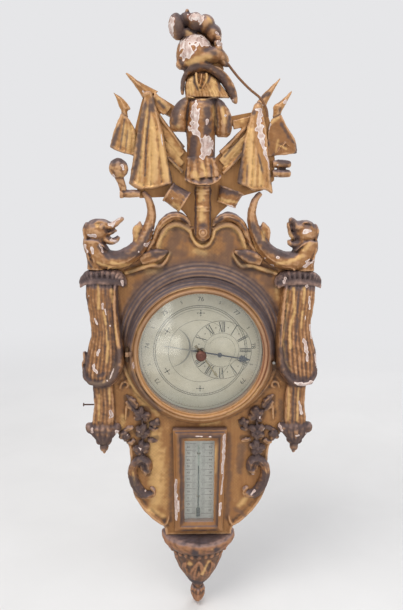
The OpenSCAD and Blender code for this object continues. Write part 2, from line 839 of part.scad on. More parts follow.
module cannon_barrel() {
    function tier(z, r, h) = [z, cannon_x - r, cannon_x + r, h];
    foot = -129;
    color("#9a6f3c")
        carving(level(concat(
            [for (a = [84 : -20 : 4]) tier(foot - barrel_r * sin(a), barrel_r * cos(a), 12 + 7 * cos(a))],
            [tier(foot + 3, barrel_r, 19), tier(foot + 9, barrel_r - 0.8, 18),
             tier(foot + 33, barrel_r - 1.2, 18), tier(foot + 36, barrel_r, 19),
             tier(foot + 41, barrel_r, 19), tier(foot + 44, barrel_r - 1.2, 18),
             tier(foot + 59, barrel_r - 1.5, 18), tier(foot + 62, barrel_r - 0.3, 19),
             tier(foot + 67, barrel_r - 0.3, 19), tier(foot + 70, barrel_r - 1.8, 17),
             tier(foot + 75, barrel_r - 2, 16)])),
            face, steps = 26, sides = 12);
}

module banner_left_inner() {
    color("#c0914a") {
        carving([[-92, -57, -47, -50, 15], [-88.5, -20, -54, -20, 15], [-86.5, 20, -61, 20, 14],
            [-86.5, 58, -71, 58, 11], [-88, 84, -79, 84, 6]], over_poles, steps = 8, sides = 32,
            flutes = 4, cut = 0.45, edge = 0.4);
        carving([[banner_edge, -42, -92.6, -40, 8], [-108, 0, -88.4, -1, 9], [-101, 36, -87.2, 34, 9],
            [-93, 72, -87.6, 70, 7]], over_poles, steps = 6, sides = 16, flutes = 2, cut = 0.5,
            edge = 0.4);
    }
}

module banner_right_inner() {
    color("#c0914a") {
        carving([[55.5, -49, 92, -58, 15], [60, -20, 91, -20, 15], [66, 20, 88.5, 20, 14],
            [74, 50, 87, 50, 11], [80, 69, 87, 69, 6]], over_poles, steps = 8, sides = 32, flutes = 4,
            cut = 0.45, edge = 0.4);
        carving([[92.6, -58, 114, -66, 9], [91.5, -20, 107, -24, 10], [89, 20, 101, 20, 10],
            [87.6, 52, 95, 52, 8]], over_poles, steps = 6, sides = 16, flutes = 2, cut = 0.5,
            edge = 0.4);
    }
}

module banner_left_outer() {
    color("#c0914a")
        carving([[-146, 6, -102, -9, 6.5], [-139, 28, -102, 14, 6.5], [-132, 44, -106, 34, 6],
            [-127, 55, -118, 48, 5]],
            face, steps = 6, sides = 24, flutes = 4, cut = 0.45, edge = 0.5);
}

module banner_right_outer() {
    color("#9a7040")
        carving([[104, -9, 151, -3, 6.5], [103, 12, 147, 16, 6.5], [104, 34, 132, 38, 6],
            [110, 50, 123, 56, 5]],
            face, steps = 6, sides = 24, flutes = 3, cut = 0.35, edge = 0.5);
}

// A half-round pole on the trophy board
module pole(a, b, r = 3.4) {
    carving(band([[a[0], a[1], r, pole_h], [b[0], b[1], r, pole_h]]), face, steps = 1, sides = 8);
}

module lances_left() {
    color("#ab8448") {
        pole([-31, 2.5], [-84, 70]);
        pole([-31, -35], [-98, 28]);
        carving(band([[-32, -6.5, 5, 5], [-74, 40.5, 5, 5]]), face, steps = 1, sides = 6);
        carving([[-95, 79, -70, 88, 6], [-104, 93, -93, 99, 6], [-120, 113, -118, 114.5, 3]], face,
            steps = 4, sides = 6);
        carving([[-126.7, 55.4, -117.7, 48.4, 5], [-127, 59, -118, 58, 6], [-129.5, 63, -113, 62, 6],
            [-134, 74, -124, 76, 5], [-139.5, 84.5, -138, 85.5, 3]],
            face, steps = 4, sides = 6);
        carving(band([[-55, 59, 8, 7], [-76, 78, 6, 7]]), face, steps = 2, sides = 6);
    }
}

module lances_right() {
    color("#ab8448") {
        pole([29, -4.5], [88, 56]);
        pole([32.5, -36], [92, 20.5]);
        carving(band([[31, -18.5, 6, 5], [84, 32.5, 6, 5]]), face, steps = 1, sides = 6);
        carving([[85, 74, 99, 68, 6], [98, 88, 107, 85, 6], [119.5, 110, 121, 109, 3]], face, steps = 4,
            sides = 6);
        carving([[110.4, 50.4, 122.8, 56.4, 5], [111, 60, 125, 62, 6], [112, 68, 128, 68, 6],
            [124, 78, 133, 76, 5], [138.5, 91.5, 139.8, 90.5, 3]],
            face, steps = 4, sides = 6);
        carving(band([[48, 38, 7, 7], [78, 46, 7, 7]]), face, steps = 2, sides = 6);
    }
}

// A field drum that lies tilted on the board, with a hoop at each end and its back cut flat
module field_drum(x, z, tilt, low_r, high_r, l) {
    hoop = 1.2;
    difference() {
        translate([x, -face - 4, z])
            rotate([0, tilt, 0])
                rotate_extrude($fn = 64)
                    polygon([[0, -l / 2], [low_r + hoop, -l / 2], [low_r + hoop, 3 - l / 2],
                        [low_r, 3 - l / 2], [high_r, l / 2 - 3], [high_r + hoop, l / 2 - 3],
                        [high_r + hoop, l / 2], [0, l / 2]]);
        block(x - 60, x + 60, face - 60, face, z - 60, z + 60);
    }
}

module field_drum_left() {
    color("#a9764a")
        field_drum(-41, -73.5, -57.6, 17.3, 16, 32);
}

module field_drum_right() {
    color("#a9764a")
        field_drum(43, -73, 19, 15, 20, 26);
}

module arms_left() {
    gun_r = 6;
    gun_z = -69;
    gun_end = 61.8 - side_x;
    mace_x = banner_edge - mace_r - 1;
    mace_z = -30;
    gun_start = mace_x + 5;
    color("#8f6a43") {
        translate([mace_x, -face - 8, mace_z])
            sphere(r = mace_r, $fn = 48);
        difference() {
            union() {
                translate([gun_start, -face - 6, gun_z])
                    rotate([0, 90, 0])
                        cylinder(r = gun_r, h = gun_end - gun_start, $fn = 48);
                translate([gun_start - 3, -face - 6, gun_z])
                    rotate([0, 90, 0])
                        cylinder(r = gun_r + 1.5, h = 5, $fn = 48);
            }
            block(mace_x - 30, gun_end + 10, 0, face, gun_z - 20, gun_z + 20);
        }
        rod_z(6, mace_x + 6, face + 8, gun_z + gun_r, mace_z - mace_r + 0.6);
    }
}

module arms_right() {
    stub_r = 6;
    color("#8f6a43")
        for (z = [-20, -35])
            difference() {
                translate([112, -face - 5, z])
                    rotate([0, 90, 0])
                        cylinder(r = stub_r, h = 30, $fn = 48);
                block(100, 150, 0, face, z - 20, z + 20);
            }
}

// Rows given from the middle of the drop and from the middle of the dial
function placed(rows) = [for (r = rows) [side_x + r[0], dial_z + r[1], r[2], r[3]]];

module dolphin() {
    color("#8a6040") {
        carving(band(placed([[-65, 264, 4, 8], [-74, 253, 5.5, 11], [-79, 233, 7, 14], [-76, 212, 9, 17],
            [-68, 191, 11, 20], [-55, 173, 13, 22], [-38, 160, 14.5, 23], [-19, 155, 15, 24],
            [0, 158, 17, 25], [12, 174, 18.5, 26], [12.5, 191, 19.5, 27], [5, 206, 17, 26],
            [-8, 212, 11.5, 20], [-21, 215.5, 8, 15], [-34, 221.5, 3.5, 9]])), face, steps = 32,
            sides = 12);
        carving(band(placed([[-5, 177, 8, 18], [-14, 184, 9, 18], [-22, 190, 8.5, 17],
            [-28, 196, 4, 11]])),
            face, steps = 6, sides = 8);
        carving(band(placed([[-51, 187.5, 6, 10], [-48, 202, 7.5, 12], [-58, 218, 2, 5]])),
            face, steps = 5, sides = 8);
        carving([[side_x - 4, dial_z + 139, side_x + 26, dial_z + 139, 18],
            [side_x, dial_z + 152, side_x + 24, dial_z + 152, 20],
            [side_x + 6, dial_z + 170, side_x + 28, dial_z + 170, 18]], face, steps = 4, sides = 8);
    }
}

module dolphin_right() {
    dolphin();
}

module dolphin_left() {
    mirrored() dolphin();
}

module scroll() {
    horn = [[19, 209, 3, 7], [27, 218, 5, 11], [39, 224, 6.5, 14], [53, 223, 6.5, 15], [64, 215, 6, 14],
        [70.5, 203, 4, 10], [73, 192, 2.5, 6]];
    color("#a07642") {
        carving(band([for (r = horn) [arch(r[0]), dial_z + r[1], r[2], r[3]]]), face, steps = 14,
            sides = 10);
        carving(band(placed([[-42, 134, 3, 5], [-60, 139, 7, 9], [-78, 146, 8, 10], [-94, 158, 6, 9],
            [-104, 169, 2, 5]])), face, steps = 10, sides = 8);
    }
}

module scroll_right() {
    scroll();
}

module scroll_left() {
    mirrored() scroll();
}

// A side drop: rolled collar, fluted drapery, lower tube and leaf bud
module drop() {
    half = drop_w / 2;
    in = side_x - half;
    out = side_x + half;
    collar_z = dial_z + 128;
    color("#8f6f4a") {
        carving(band([for (r = [[in - 1.5, -18, 3.5, 10], [in - 1.5, -12, 5, 15], [in + 3, -4, 8, 20],
            [in + 12, 0, 9.5, 22], [side_x, 0.4, 9.5, 23], [out - 12, 0, 9.5, 22], [out - 1, -3, 8, 20],
            [out + 4, -11, 5.5, 15], [out + 4, -17, 3.5, 10]]) [r[0], collar_z + r[1], r[2], r[3]]]),
            face, steps = 18, sides = 10);
        carving(level([for (r = [[-58, 30, -12, 0.25], [-55, 17, 1, 0.75], [-48, 9, 6, 0.95],
            [-36, 2.5, 8.5, 1], [-16, 0, 4, 0.95], [10, 0, 1.5, 0.86], [35, 1.5, 1, 0.8],
            [65, 4.5, 1.5, 0.74], [95, 8, 1, 0.68], [116.8, 11, -2, 0.62]]) [dial_z + r[0], in + r[1],
            out + r[2] - 2, drop_h * r[3]]]), face, steps = 18, sides = 36, flutes = 7, cut = 0.24,
            edge = 0.35);
        carving(level([for (r = [[-128, 18, -6, 0.5], [-100, 17.5, -11, 0.48], [-75, 18.5, -11, 0.48],
            [-58.3, 19.5, -9, 0.5]]) [dial_z + r[0], in + r[1], out + r[2], drop_h * r[3]]]), face,
            steps = 6, sides = 30, flutes = 5, cut = 0.25, edge = 0.4);
        carving(level([for (r = [[-185, 34.5, -26, 3], [-178, 30, -21, 9], [-168, 22, -13.5, 15],
            [-158, 14, -5, 19], [-148, 8.5, 0, 21], [-138, 7.5, 3.5, 20], [-131, 13, -2, 16],
            [-128.3, 18, -6, 13]]) [dial_z + r[0], in + r[1], out + r[2], r[3]]]), face, steps = 12,
            sides = 14);
    }
}

module drop_right() {
    drop();
}

module drop_left() {
    mirrored() drop();
}

// A bent nail in the outer side of the left lower tube
module drop_nail() {
    side = -(side_x + drop_w / 2 - 11);
    color("#b8b2a8")
        translate([side, -face - 5, dial_z - 93])
            rotate([0, -90, 0])
                union() {
                    translate([0, 0, 0.2])
                        cylinder(r = 1.2, h = 18, $fn = 24);
                    translate([0, 0, 17])
                        cylinder(r = 3, h = 1.4, $fn = 24);
                }
}

// A domed flower with a raised heart, seated on the panel
module flower(x, z) {
    turned([[0, face], [flower_r, face], [flower_r, face + 3], [flower_r - 3, face + 8],
        [flower_r - 8, face + 7], [5, face + 6], [4, face + 10], [0, face + 12]], side_x + x,
        dial_z + z);
}

module leaf(points) {
    carving(band(placed(points)), face, steps = 6, sides = 8);
}

module garland() {
    color("#5c4636") {
        flower(-61, -112.4);
        flower(-61, -142);
        flower(-59, -174);
        turned([[0, face], [8, face], [7, face + 6], [0, face + 10]], side_x - 31, dial_z - 150.5);
        turned([[0, face], [8, face], [7, face + 6], [0, face + 10]], side_x - 83, dial_z - 131);
        leaf([[-32, -79, 2, 4], [-38, -88, 6, 8], [-46, -100, 4, 6]]);
        leaf([[-32, -167, 2, 4], [-40, -163, 4.5, 7], [-45, -160, 2.5, 5]]);
        leaf([[-88, -156, 2, 4], [-81, -158.5, 4.5, 7], [-74.5, -161, 2.5, 5]]);
        leaf([[-70, -227, 2, 4], [-68, -212, 8, 10], [-67, -198, 7, 9], [-66, -191, 4, 7]]);
        leaf([[-79, -259, 4, 8], [-66, -264, 6, 11], [-53, -258, 7, 12], [-44, -242, 7, 12],
            [-41, -222, 7, 12], [-43, -202, 6.5, 11], [-50, -191, 4, 8]]);
    }
}

module garland_right() {
    garland();
}

module garland_left() {
    mirrored() garland();
}

module pendant() {
    back = 12;
    drawn_r = 67;
    share = pendant_r / drawn_r;
    color("#a5743a")
        carving(level([for (r = [[-146, 1.5, 10], [-143, 6, 18], [-137, 13, 26], [-128, 15.5, 30],
            [-118, 14, 28], [-110, 9.5, 22], [-104, 12, 24], [-94, 23, 30], [-82, 32, 36], [-66, 40, 43],
            [-48, 46, 48], [-32, 51, 51], [-23, 57, 55], [-17, 65, 60], [-10, 67, 62], [-5, 65, 61],
            [-0.3, 60, 56]]) [foot_z + r[0], -r[1] * share, r[1] * share, r[2] * share]]),
            back, steps = 32, sides = 18, edge = 0.05);
}

back_case();
front_panel();
trophy_board();
drum_moulding();
dial_plate();
bezel_ring();
bezel_glass();
bezel_hinge();
bezel_catch();
pivot_screws();
set_knob();
set_hand();
indicator_hand();
hand_arbor();
arbor_pulley();
arbor_bridge();
siphon_tube();
mercury_column();
glass_float();
counterweight();
silk_thread();
tube_blocks();
thermometer_box();
thermometer_glass();
thermometer_scale();
thermometer_tube();
thermometer_mercury();
thermometer_staples();
rear_door();
door_pins();
turn_button();
hanging_plate();
wood_screws();
helmet_shell();
helmet_plume();
helmet_lining();
curved_rod();
cuirass();
cannon_barrel();
banner_left_outer();
banner_left_inner();
banner_right_inner();
banner_right_outer();
lances_left();
lances_right();
field_drum_left();
field_drum_right();
arms_left();
arms_right();
dolphin_left();
dolphin_right();
scroll_left();
scroll_right();
drop_left();
drop_right();
drop_nail();
garland_left();
garland_right();
pendant();
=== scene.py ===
"""Looks of a carved giltwood wheel barometer, built around its packed construction.

Shapes are given in millimetres as x, z and depth, where depth is measured forward from the wall.
"""

import math

import bmesh
import bpy
import numpy as np
from mathutils.bvhtree import BVHTree
from mathutils import Matrix, Vector


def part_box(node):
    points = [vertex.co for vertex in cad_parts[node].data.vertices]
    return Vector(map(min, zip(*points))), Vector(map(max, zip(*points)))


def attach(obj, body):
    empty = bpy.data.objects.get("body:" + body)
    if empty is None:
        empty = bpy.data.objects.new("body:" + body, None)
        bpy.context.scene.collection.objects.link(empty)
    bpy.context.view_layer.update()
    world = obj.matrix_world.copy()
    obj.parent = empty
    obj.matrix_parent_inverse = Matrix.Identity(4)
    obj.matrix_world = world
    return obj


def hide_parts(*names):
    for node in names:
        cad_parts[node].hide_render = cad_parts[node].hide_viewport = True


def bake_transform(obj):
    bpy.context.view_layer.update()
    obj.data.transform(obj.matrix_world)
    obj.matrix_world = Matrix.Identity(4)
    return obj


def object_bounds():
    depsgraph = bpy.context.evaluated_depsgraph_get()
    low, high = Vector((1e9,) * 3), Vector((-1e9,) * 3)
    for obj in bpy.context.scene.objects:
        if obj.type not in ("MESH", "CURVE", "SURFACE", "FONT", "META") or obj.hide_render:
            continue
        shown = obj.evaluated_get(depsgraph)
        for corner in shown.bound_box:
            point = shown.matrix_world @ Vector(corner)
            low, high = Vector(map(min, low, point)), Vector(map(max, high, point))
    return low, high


bl_info = {
    "name": "Giltwood Barometer",
    "version": (1, 0, 0),
    "blender": (4, 5, 0),
    "location": "3D View > Sidebar > Barometer",
    "description": "Models the carving, gilding, dial and glass of a wall barometer",
    "category": "Add Mesh",
}

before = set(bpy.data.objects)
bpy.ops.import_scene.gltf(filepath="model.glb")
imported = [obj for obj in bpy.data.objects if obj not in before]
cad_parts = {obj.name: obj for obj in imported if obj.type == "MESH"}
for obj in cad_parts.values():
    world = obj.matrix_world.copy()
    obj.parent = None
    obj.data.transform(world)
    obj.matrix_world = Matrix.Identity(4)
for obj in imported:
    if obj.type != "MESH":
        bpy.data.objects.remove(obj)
CAD_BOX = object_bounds()

MM = 0.001
FACE = -1000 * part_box("drum_moulding")[1].y
DIAL_LOW, DIAL_HIGH = (1000 * corner.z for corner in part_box("drum_moulding"))
DIAL_Z = (DIAL_LOW + DIAL_HIGH) / 2
DRUM_R = (DIAL_HIGH - DIAL_LOW) / 2
DRUM_FACE = -1000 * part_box("drum_moulding")[0].y
BEZEL_R = 500 * (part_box("bezel_ring")[1].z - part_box("bezel_ring")[0].z)
BEZEL_FACE = -1000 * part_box("bezel_ring")[0].y
DIAL_FACE = -1000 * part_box("dial_plate")[0].y
SIDE_X = DRUM_R + 33
CLOTH_SEAT = -1000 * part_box("banner_left_inner")[1].y
BOX_LOW, BOX_HIGH = (1000 * corner.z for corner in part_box("thermometer_box"))
BOX_FACE = -1000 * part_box("thermometer_box")[0].y
SCALE_FACE = -1000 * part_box("thermometer_scale")[0].y
FOOT_Z = 1000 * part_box("pendant")[1].z
# Innermost radius of turned pieces, lift of print above its plate, radii of the dial's figures and crosses
MIDDLE_R = 0.02
PRINT_LIFT = 0.06
FIGURE_R = 89.5
CROSS_R = 66


def colour_of(red, green, blue):
    """A colour written as 0 to 255 in sRGB, as linear values."""
    parts = [c / 255 for c in (red, green, blue)]
    return tuple(c / 12.92 if c <= 0.04045 else ((c + 0.055) / 1.055) ** 2.4 for c in parts)


# Shapes


def through(rows, count):
    """A smooth run of rows through the given ones."""
    rows = np.asarray(rows, float)
    s = np.linspace(0, len(rows) - 1, count)
    i = np.minimum(s.astype(int), len(rows) - 2)
    t = (s - i)[:, None]
    a, b, c = rows[np.maximum(i - 1, 0)], rows[i], rows[i + 1]
    d = rows[np.minimum(i + 2, len(rows) - 1)]
    return 0.5 * (2 * b + (c - a) * t + (2 * a - 5 * b + 4 * c - d) * t**2 + (3 * b - a - 3 * c + d) * t**3)


def bulge(u, power=0.5):
    """How far a round section stands out across its width, from 0 at the edges to 1."""
    return np.clip(1 - (2 * u - 1) ** 2, 0, 1) ** power


def groove_at(u, place, width):
    """A soft groove or lip at one share of the width."""
    return np.exp(-(((u - place) / width) ** 2))


def counted_from(rows, first, second):
    """Pairs of numbers moved so that they are counted from an origin."""
    return np.asarray(rows, float) + (first, second)


def dome(power=0.5, edge=0.12):
    """A rounded cross-section."""
    return lambda u, t: edge + (1 - edge) * bulge(u, power)


def rolls(count, cut, power=0.4, edge=0.3):
    """A rounded cross-section cut into round flutes of one width."""

    def shape(u, t):
        part = u * count - np.floor(u * count)
        return (edge + (1 - edge) * bulge(u, power)) * (1 - cut * (1 - bulge(part)))

    return shape


def ridge(edge):
    """A roof-like cross-section with a ridge along its middle."""
    return lambda u, t: edge + (1 - edge) * (1 - np.abs(2 * u - 1)) + 0 * t


def veined(lobes, depth):
    """A leaf's cross-section, with a sunk midrib and side veins."""

    def shape(u, t):
        across = np.abs(2 * u - 1)
        rib = 0.35 * np.exp(-((across / 0.16) ** 2))
        veins = depth * 0.5 * (0.5 + 0.5 * np.cos(math.tau * (lobes * t + across * 0.9))) * across
        return (0.15 + 0.85 * bulge(u)) * (1 - rib - veins)

    return shape


def folds(edges, cut=0.3, edge=0.35, flat=0.4, bow=0.35):
    """The cross-section of soft rolls side by side, between the given shares of the width."""
    edges = np.asarray(edges, float)

    def shape(u, t):
        part = np.interp(u, edges, np.arange(len(edges)))
        part = part - np.floor(np.minimum(part, len(edges) - 1.001))
        return (edge + (1 - edge) * bulge(u, bow)) * (1 - cut * (1 - bulge(part, flat))) + 0 * t

    return shape


def skin(rings):
    """A closed shell over rings of points that follow one another."""
    rings = np.asarray(rings, float)
    m, n = rings.shape[:2]
    faces = []
    for i in range(m - 1):
        for j in range(n):
            k = (j + 1) % n
            faces.append((i * n + j, (i + 1) * n + j, (i + 1) * n + k, i * n + k))
    faces.append(tuple(range(n)))
    faces.append(tuple((m - 1) * n + j for j in range(n - 1, -1, -1)))
    return rings.reshape(-1, 3), faces


def relief(left, right, height, seat, sides=16, shape=None, even=False):
    """A carving with a flat back, between two edges given as x and z."""
    shape = shape or dome()
    u = np.linspace(0, 1, sides) if even else (1 - np.cos(np.linspace(0, math.pi, sides))) / 2
    t = np.linspace(0, 1, len(height))
    rise = np.broadcast_to(shape(u[None, :], t[:, None]), (len(t), sides)) * np.asarray(height)[:, None]
    flat = left[:, None] + (right - left)[:, None] * u[None, :, None]
    front = np.stack([flat[..., 0], seat + rise, flat[..., 1]], -1)
    feet = [
        np.stack([edge[:, 0], np.full(len(edge), seat), edge[:, 1]], -1)[:, None] for edge in (left, right)]
    return skin(np.concatenate([feet[0], front, feet[1]], 1))


def ribbon(rows, seat=FACE, count=24, sides=14, shape=None, even=False, lobes=0, lobe_depth=0.2):
    """A carving along a line; rows are x, z, half width and height."""
    p = through(rows, count)
    run = np.gradient(p[:, :2], axis=0)
    side = np.stack([-run[:, 1], run[:, 0]], 1) / np.linalg.norm(run, axis=1)[:, None]
    half = np.maximum(p[:, 2], 0.4)
    if lobes:
        half = half * (
            1 - lobe_depth + lobe_depth * np.abs(np.sin(math.pi * lobes * np.linspace(0, 1, count))))
    half = half[:, None]
    return relief(p[:, :2] + side * half, p[:, :2] - side * half, p[:, 3], seat, sides, shape, even)


def level(rows, seat=FACE, count=30, sides=30, shape=None, even=True):
    """A carving that stands level; rows are z, left x, right x and height."""
    p = through(rows, count)
    left, right = p[:, [1, 0]], p[:, [2, 0]]
    return relief(left, right, p[:, 3], seat, sides, shape, even)


def sheet(rows, seat, count=50, sides=60, shape=None):
    """Hanging cloth or a plate; rows are left x and z, right x and z, and height."""
    p = through(rows, count)
    return relief(p[:, :2], p[:, 2:4], p[:, 4], seat, sides, shape, True)


def tube(path, sides=12):
    """A round rod; the path is x, z, depth and radius."""
    p = np.asarray(path, float)
    run = np.gradient(p[:, :3], axis=0)
    run /= np.maximum(np.linalg.norm(run, axis=1), 1e-9)[:, None]
    front = np.array([0.0, 0.0, 1.0])
    side = np.cross(run, front)
    side /= np.maximum(np.linalg.norm(side, axis=1), 1e-6)[:, None]
    lift = np.cross(side, run)
    turn = np.linspace(0, math.tau, sides, endpoint=False)
    ring = side[:, None] * np.cos(turn)[None, :, None] + lift[:, None] * np.sin(turn)[None, :, None]
    points = p[:, None, :3] + ring * p[:, None, 3:4]
    return skin(points[..., [0, 2, 1]])


def ball(x, z, depth, wide, tall, deep, turn=0.0, seat=None, sides=24, dents=0, dent=0.0):
    """An egg shape, cut flat at its seat."""
    rings = []
    spin = math.radians(turn)
    for a in np.linspace(0.04, math.pi - 0.04, sides // 2 + 1):
        around = np.linspace(0, math.tau, sides, endpoint=False)
        swell = 1 - dent * (0.5 + 0.5 * np.cos(dents * around)) if dents else np.ones(sides)
        px = wide * math.sin(a) * np.cos(around) * swell
        pd = deep * math.sin(a) * np.sin(around) * swell
        pz = np.full(sides, tall * math.cos(a))
        qx = px * math.cos(spin) - pz * math.sin(spin)
        qz = px * math.sin(spin) + pz * math.cos(spin)
        d = depth + pd
        if seat is not None:
            d = np.maximum(d, seat)
        rings.append(np.stack([x + qx, d, z + qz], -1))
    return skin(rings)


def looped(points):
    """A shell over rows of points that follow one another, the last joined to the first."""
    m, n = points.shape[:2]
    faces = [(i * n + j, ((i + 1) % m) * n + j, ((i + 1) % m) * n + (j + 1) % n, i * n + (j + 1) % n)
             for i in range(m) for j in range(n)]
    return points.reshape(-1, 3), faces


def lathe(profile, x, z, segments=128):
    """A turned ring or boss about a line that runs forward; the profile is radius and depth."""
    profile = np.asarray(profile, float)
    turn = np.linspace(0, math.tau, segments, endpoint=False)
    points = np.stack([x + profile[:, None, 0] * np.cos(turn),
                       np.broadcast_to(profile[:, None, 1], (len(profile), segments)),
                       z + profile[:, None, 0] * np.sin(turn)], -1)
    return looped(points)


def mirrored(shell, side):
    """The shell on the right side, or its mirror image on the left."""
    points, faces = shell
    return points * np.array([side, 1, 1]), faces


def mesh_of(name, shells):
    """One mesh in metres from closed shells in millimetres, with its faces outwards."""
    points, faces, start = [], [], 0
    for shell_points, shell_faces in shells:
        points.append(shell_points)
        faces += [tuple(start + i for i in face) for face in shell_faces]
        start += len(shell_points)
    points = np.concatenate(points)
    mesh = bpy.data.meshes.new(name)
    placed = np.stack([points[:, 0], -points[:, 1], points[:, 2]], 1) * MM
    mesh.from_pydata(placed.tolist(), [], faces)
    shape = bmesh.new()
    shape.from_mesh(mesh)
    bmesh.ops.recalc_face_normals(shape, faces=shape.faces)
    shape.to_mesh(mesh)
    shape.free()
    mesh.update()
    return mesh


def object_of(name, mesh):
    """A new object in the scene, at the origin."""
    made = bpy.data.objects.new(name, mesh)
    bpy.context.scene.collection.objects.link(made)
    return made


def rounded(made):
    """The object, shaded smooth."""
    made.data.polygons.foreach_set("use_smooth", [True] * len(made.data.polygons))
    return made


def settled(made):
    """The object with its modifiers worked into a plain mesh."""
    bpy.context.view_layer.update()
    mesh = bpy.data.meshes.new_from_object(made.evaluated_get(bpy.context.evaluated_depsgraph_get()))
    made.modifiers.clear()
    made.data = mesh
    return made


def fused(made, voxel):
    """Closed shells joined into one skin, as if cut from one block of wood."""
    fuse = made.modifiers.new("Fuse", "REMESH")
    fuse.mode = "VOXEL"
    fuse.voxel_size = voxel * MM
    return settled(made)


# Wave numbers and shifts of the random fields: kinds, waves in each, and x, z, depth and shift
WAVES = np.random.default_rng(11).normal(size=(4, 10, 4))


def ripple(points, size, kind=0):
    """A smooth random field over points in millimetres, from about -1 to 1."""
    total = np.zeros(len(points))
    for x, y, z, shift in WAVES[kind]:
        total += np.sin(points @ (np.array([x, y, z]) * 3.0 / size) + shift * 9)
    return total / 2.6


class Surface:
    """Point values that are spread along the edges of a mesh."""

    def __init__(self, mesh):
        self.mesh = mesh
        count = len(mesh.vertices)
        edges = np.zeros(len(mesh.edges) * 2, np.int64)
        mesh.edges.foreach_get("vertices", edges)
        edges = edges.reshape(-1, 2)
        self.a = np.concatenate([edges[:, 0], edges[:, 1]])
        self.b = np.concatenate([edges[:, 1], edges[:, 0]])
        self.degree = np.maximum(np.bincount(self.a, minlength=count), 1)
        self.count = count

    def points(self):
        co = np.zeros(self.count * 3)
        self.mesh.vertices.foreach_get("co", co)
        return co.reshape(-1, 3) / MM

    def normals(self):
        n = np.zeros(self.count * 3, np.float32)
        self.mesh.vertex_normals.foreach_get("vector", n)
        return n.reshape(-1, 3).astype(float)

    def relaxed(self, values, times, share=0.6):
        values = np.array(values, float)
        flat = values.reshape(self.count, -1)
        for _ in range(times):
            mean = np.stack([np.bincount(self.a, weights=flat[self.b, k], minlength=self.count)
                             for k in range(flat.shape[1])], 1) / self.degree[:, None]
            flat = flat + share * (mean - flat)
        return flat.reshape(values.shape)

    def place(self, points):
        self.mesh.vertices.foreach_set("co", (points * MM).astype(np.float32).ravel())
        self.mesh.update()

    def write(self, name, values):
        made = self.mesh.attributes.get(name) or self.mesh.attributes.new(name, "FLOAT", "POINT")
        made.data.foreach_set("value", values.astype(np.float32))


def marked(points, chains, soft=0.35):
    """How far places lie inside marks; a mark is a chain of x, z and radius, one place after another."""
    most = np.zeros(len(points))
    if not chains:
        return most
    wobble = soft * ripple(points, 8, 2)
    for chain in chains:
        rows = np.reshape(chain, (-1, 3)).astype(float)
        for a, b in zip(rows, rows[1:] if len(rows) > 1 else rows):
            run = b[:2] - a[:2]
            away = points[:, [0, 2]] - a[:2]
            share = np.clip(away @ run / max(float(run @ run), 1e-6), 0, 1)
            gap = np.hypot(away[:, 0] - share * run[0], away[:, 1] - share * run[1])
            most = np.maximum(most, 1.5 - gap / (a[2] + share * (b[2] - a[2])) + wobble)
    return np.clip(most, 0, 1)


def neighbours(own):
    """The construction's fixed pieces other than the given ones, for finding where pieces meet."""
    corners, faces = [], []
    for name in SURROUNDINGS:
        if name in own:
            continue
        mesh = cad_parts[name].data
        start = len(corners)
        corners += [v.co / MM for v in mesh.vertices]
        faces += [tuple(start + k for k in p.vertices) for p in mesh.polygons]
    return BVHTree.FromPolygons(corners, faces)


def close_by(points, own, reach=5.5):
    """How near each place lies to another piece, from 1 where they touch to 0."""
    tree = neighbours(own)
    gaps = np.full(len(points), reach)
    for k, place in enumerate(points.tolist()):
        found = tree.find_nearest(place, reach)
        if found[0] is not None:
            gaps[k] = found[3]
    return 1 - gaps / reach


def weathered(made, chips=(), smooth=2, rough=0.3, fine=0.12, dirt_and_shade=(), painted_highlight=(), own=()):
    """Rounds a carving, makes it uneven as hand work is, and writes where it is sunk, worn and marked, with
    marks of dirt and painted shade and marks of painted highlight.
    """
    surface = Surface(made.data)
    points = surface.points()
    if smooth:
        points = surface.relaxed(points, smooth)
        surface.place(points)
    normals = surface.normals()
    points = points + normals * (
        rough * ripple(points, 13)[:, None] + fine * ripple(points, 4.5, 1)[:, None])
    surface.place(points)
    normals = surface.normals()
    close = ((surface.relaxed(points, 5) - points) * normals).sum(1)
    wide = ((surface.relaxed(points, 40) - points) * normals).sum(1)
    scale = max(float(np.percentile(np.abs(close), 95)), 0.05)
    spread = max(float(np.percentile(np.abs(wide), 95)), 0.15)
    sunk = surface.relaxed(np.clip(close / scale, -1, 1) * 0.4 + np.clip(wide / spread, -1, 1) * 0.6, 3)
    surface.write("sunk", sunk)
    surface.write("up", surface.relaxed(normals[:, 2], 3))
    front = np.clip(-normals[:, 1] * 3 + 0.6, 0, 1)
    surface.write("rear", surface.relaxed(np.clip(normals[:, 1] * 3 - 1.2, 0, 1), 2))
    surface.write("chip", marked(points, chips) * front)
    # dark marks: dirt, and painted shade where the carving lies in shadow
    surface.write("dirt_and_shade", surface.relaxed(marked(points, dirt_and_shade, 0.3), 2))
    # light marks: painted highlight
    surface.write("painted_highlight", surface.relaxed(marked(points, painted_highlight, 0.3), 2) * front)
    if own:
        # closeness to other pieces, which the gilding turns into painted shade where pieces meet
        surface.write("near", surface.relaxed(close_by(points, own), 2))
    return rounded(made)


def thinned(made):
    """Takes triangles from a piece that has more than MOST_TRIANGLES, first where it is flat."""
    count = sum(len(face.vertices) - 2 for face in made.data.polygons)
    if count > MOST_TRIANGLES:
        fewer = made.modifiers.new("thinned", "DECIMATE")
        fewer.ratio = MOST_TRIANGLES / count
        settled(made)
    return made


def carried(made, finish, body, nodes=()):
    """Gives a piece its finish, its body and the construction nodes that it stands for."""
    made.data.materials.clear()
    made.data.materials.append(finish_of(finish))
    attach(made, body)
    if nodes:
        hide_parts(*nodes)
    return made


def carving(name, shells, finish, nodes, voxel=1.3, slot="giltwood", body="case", **wear):
    """A fused and weathered carving in place of construction nodes."""
    made = fused(object_of(name, mesh_of(name, shells)), voxel)
    weathered(made, own=nodes, **MARKS.get(name, {}), **wear)
    thinned(made)
    return carried(made, finish, body, nodes)


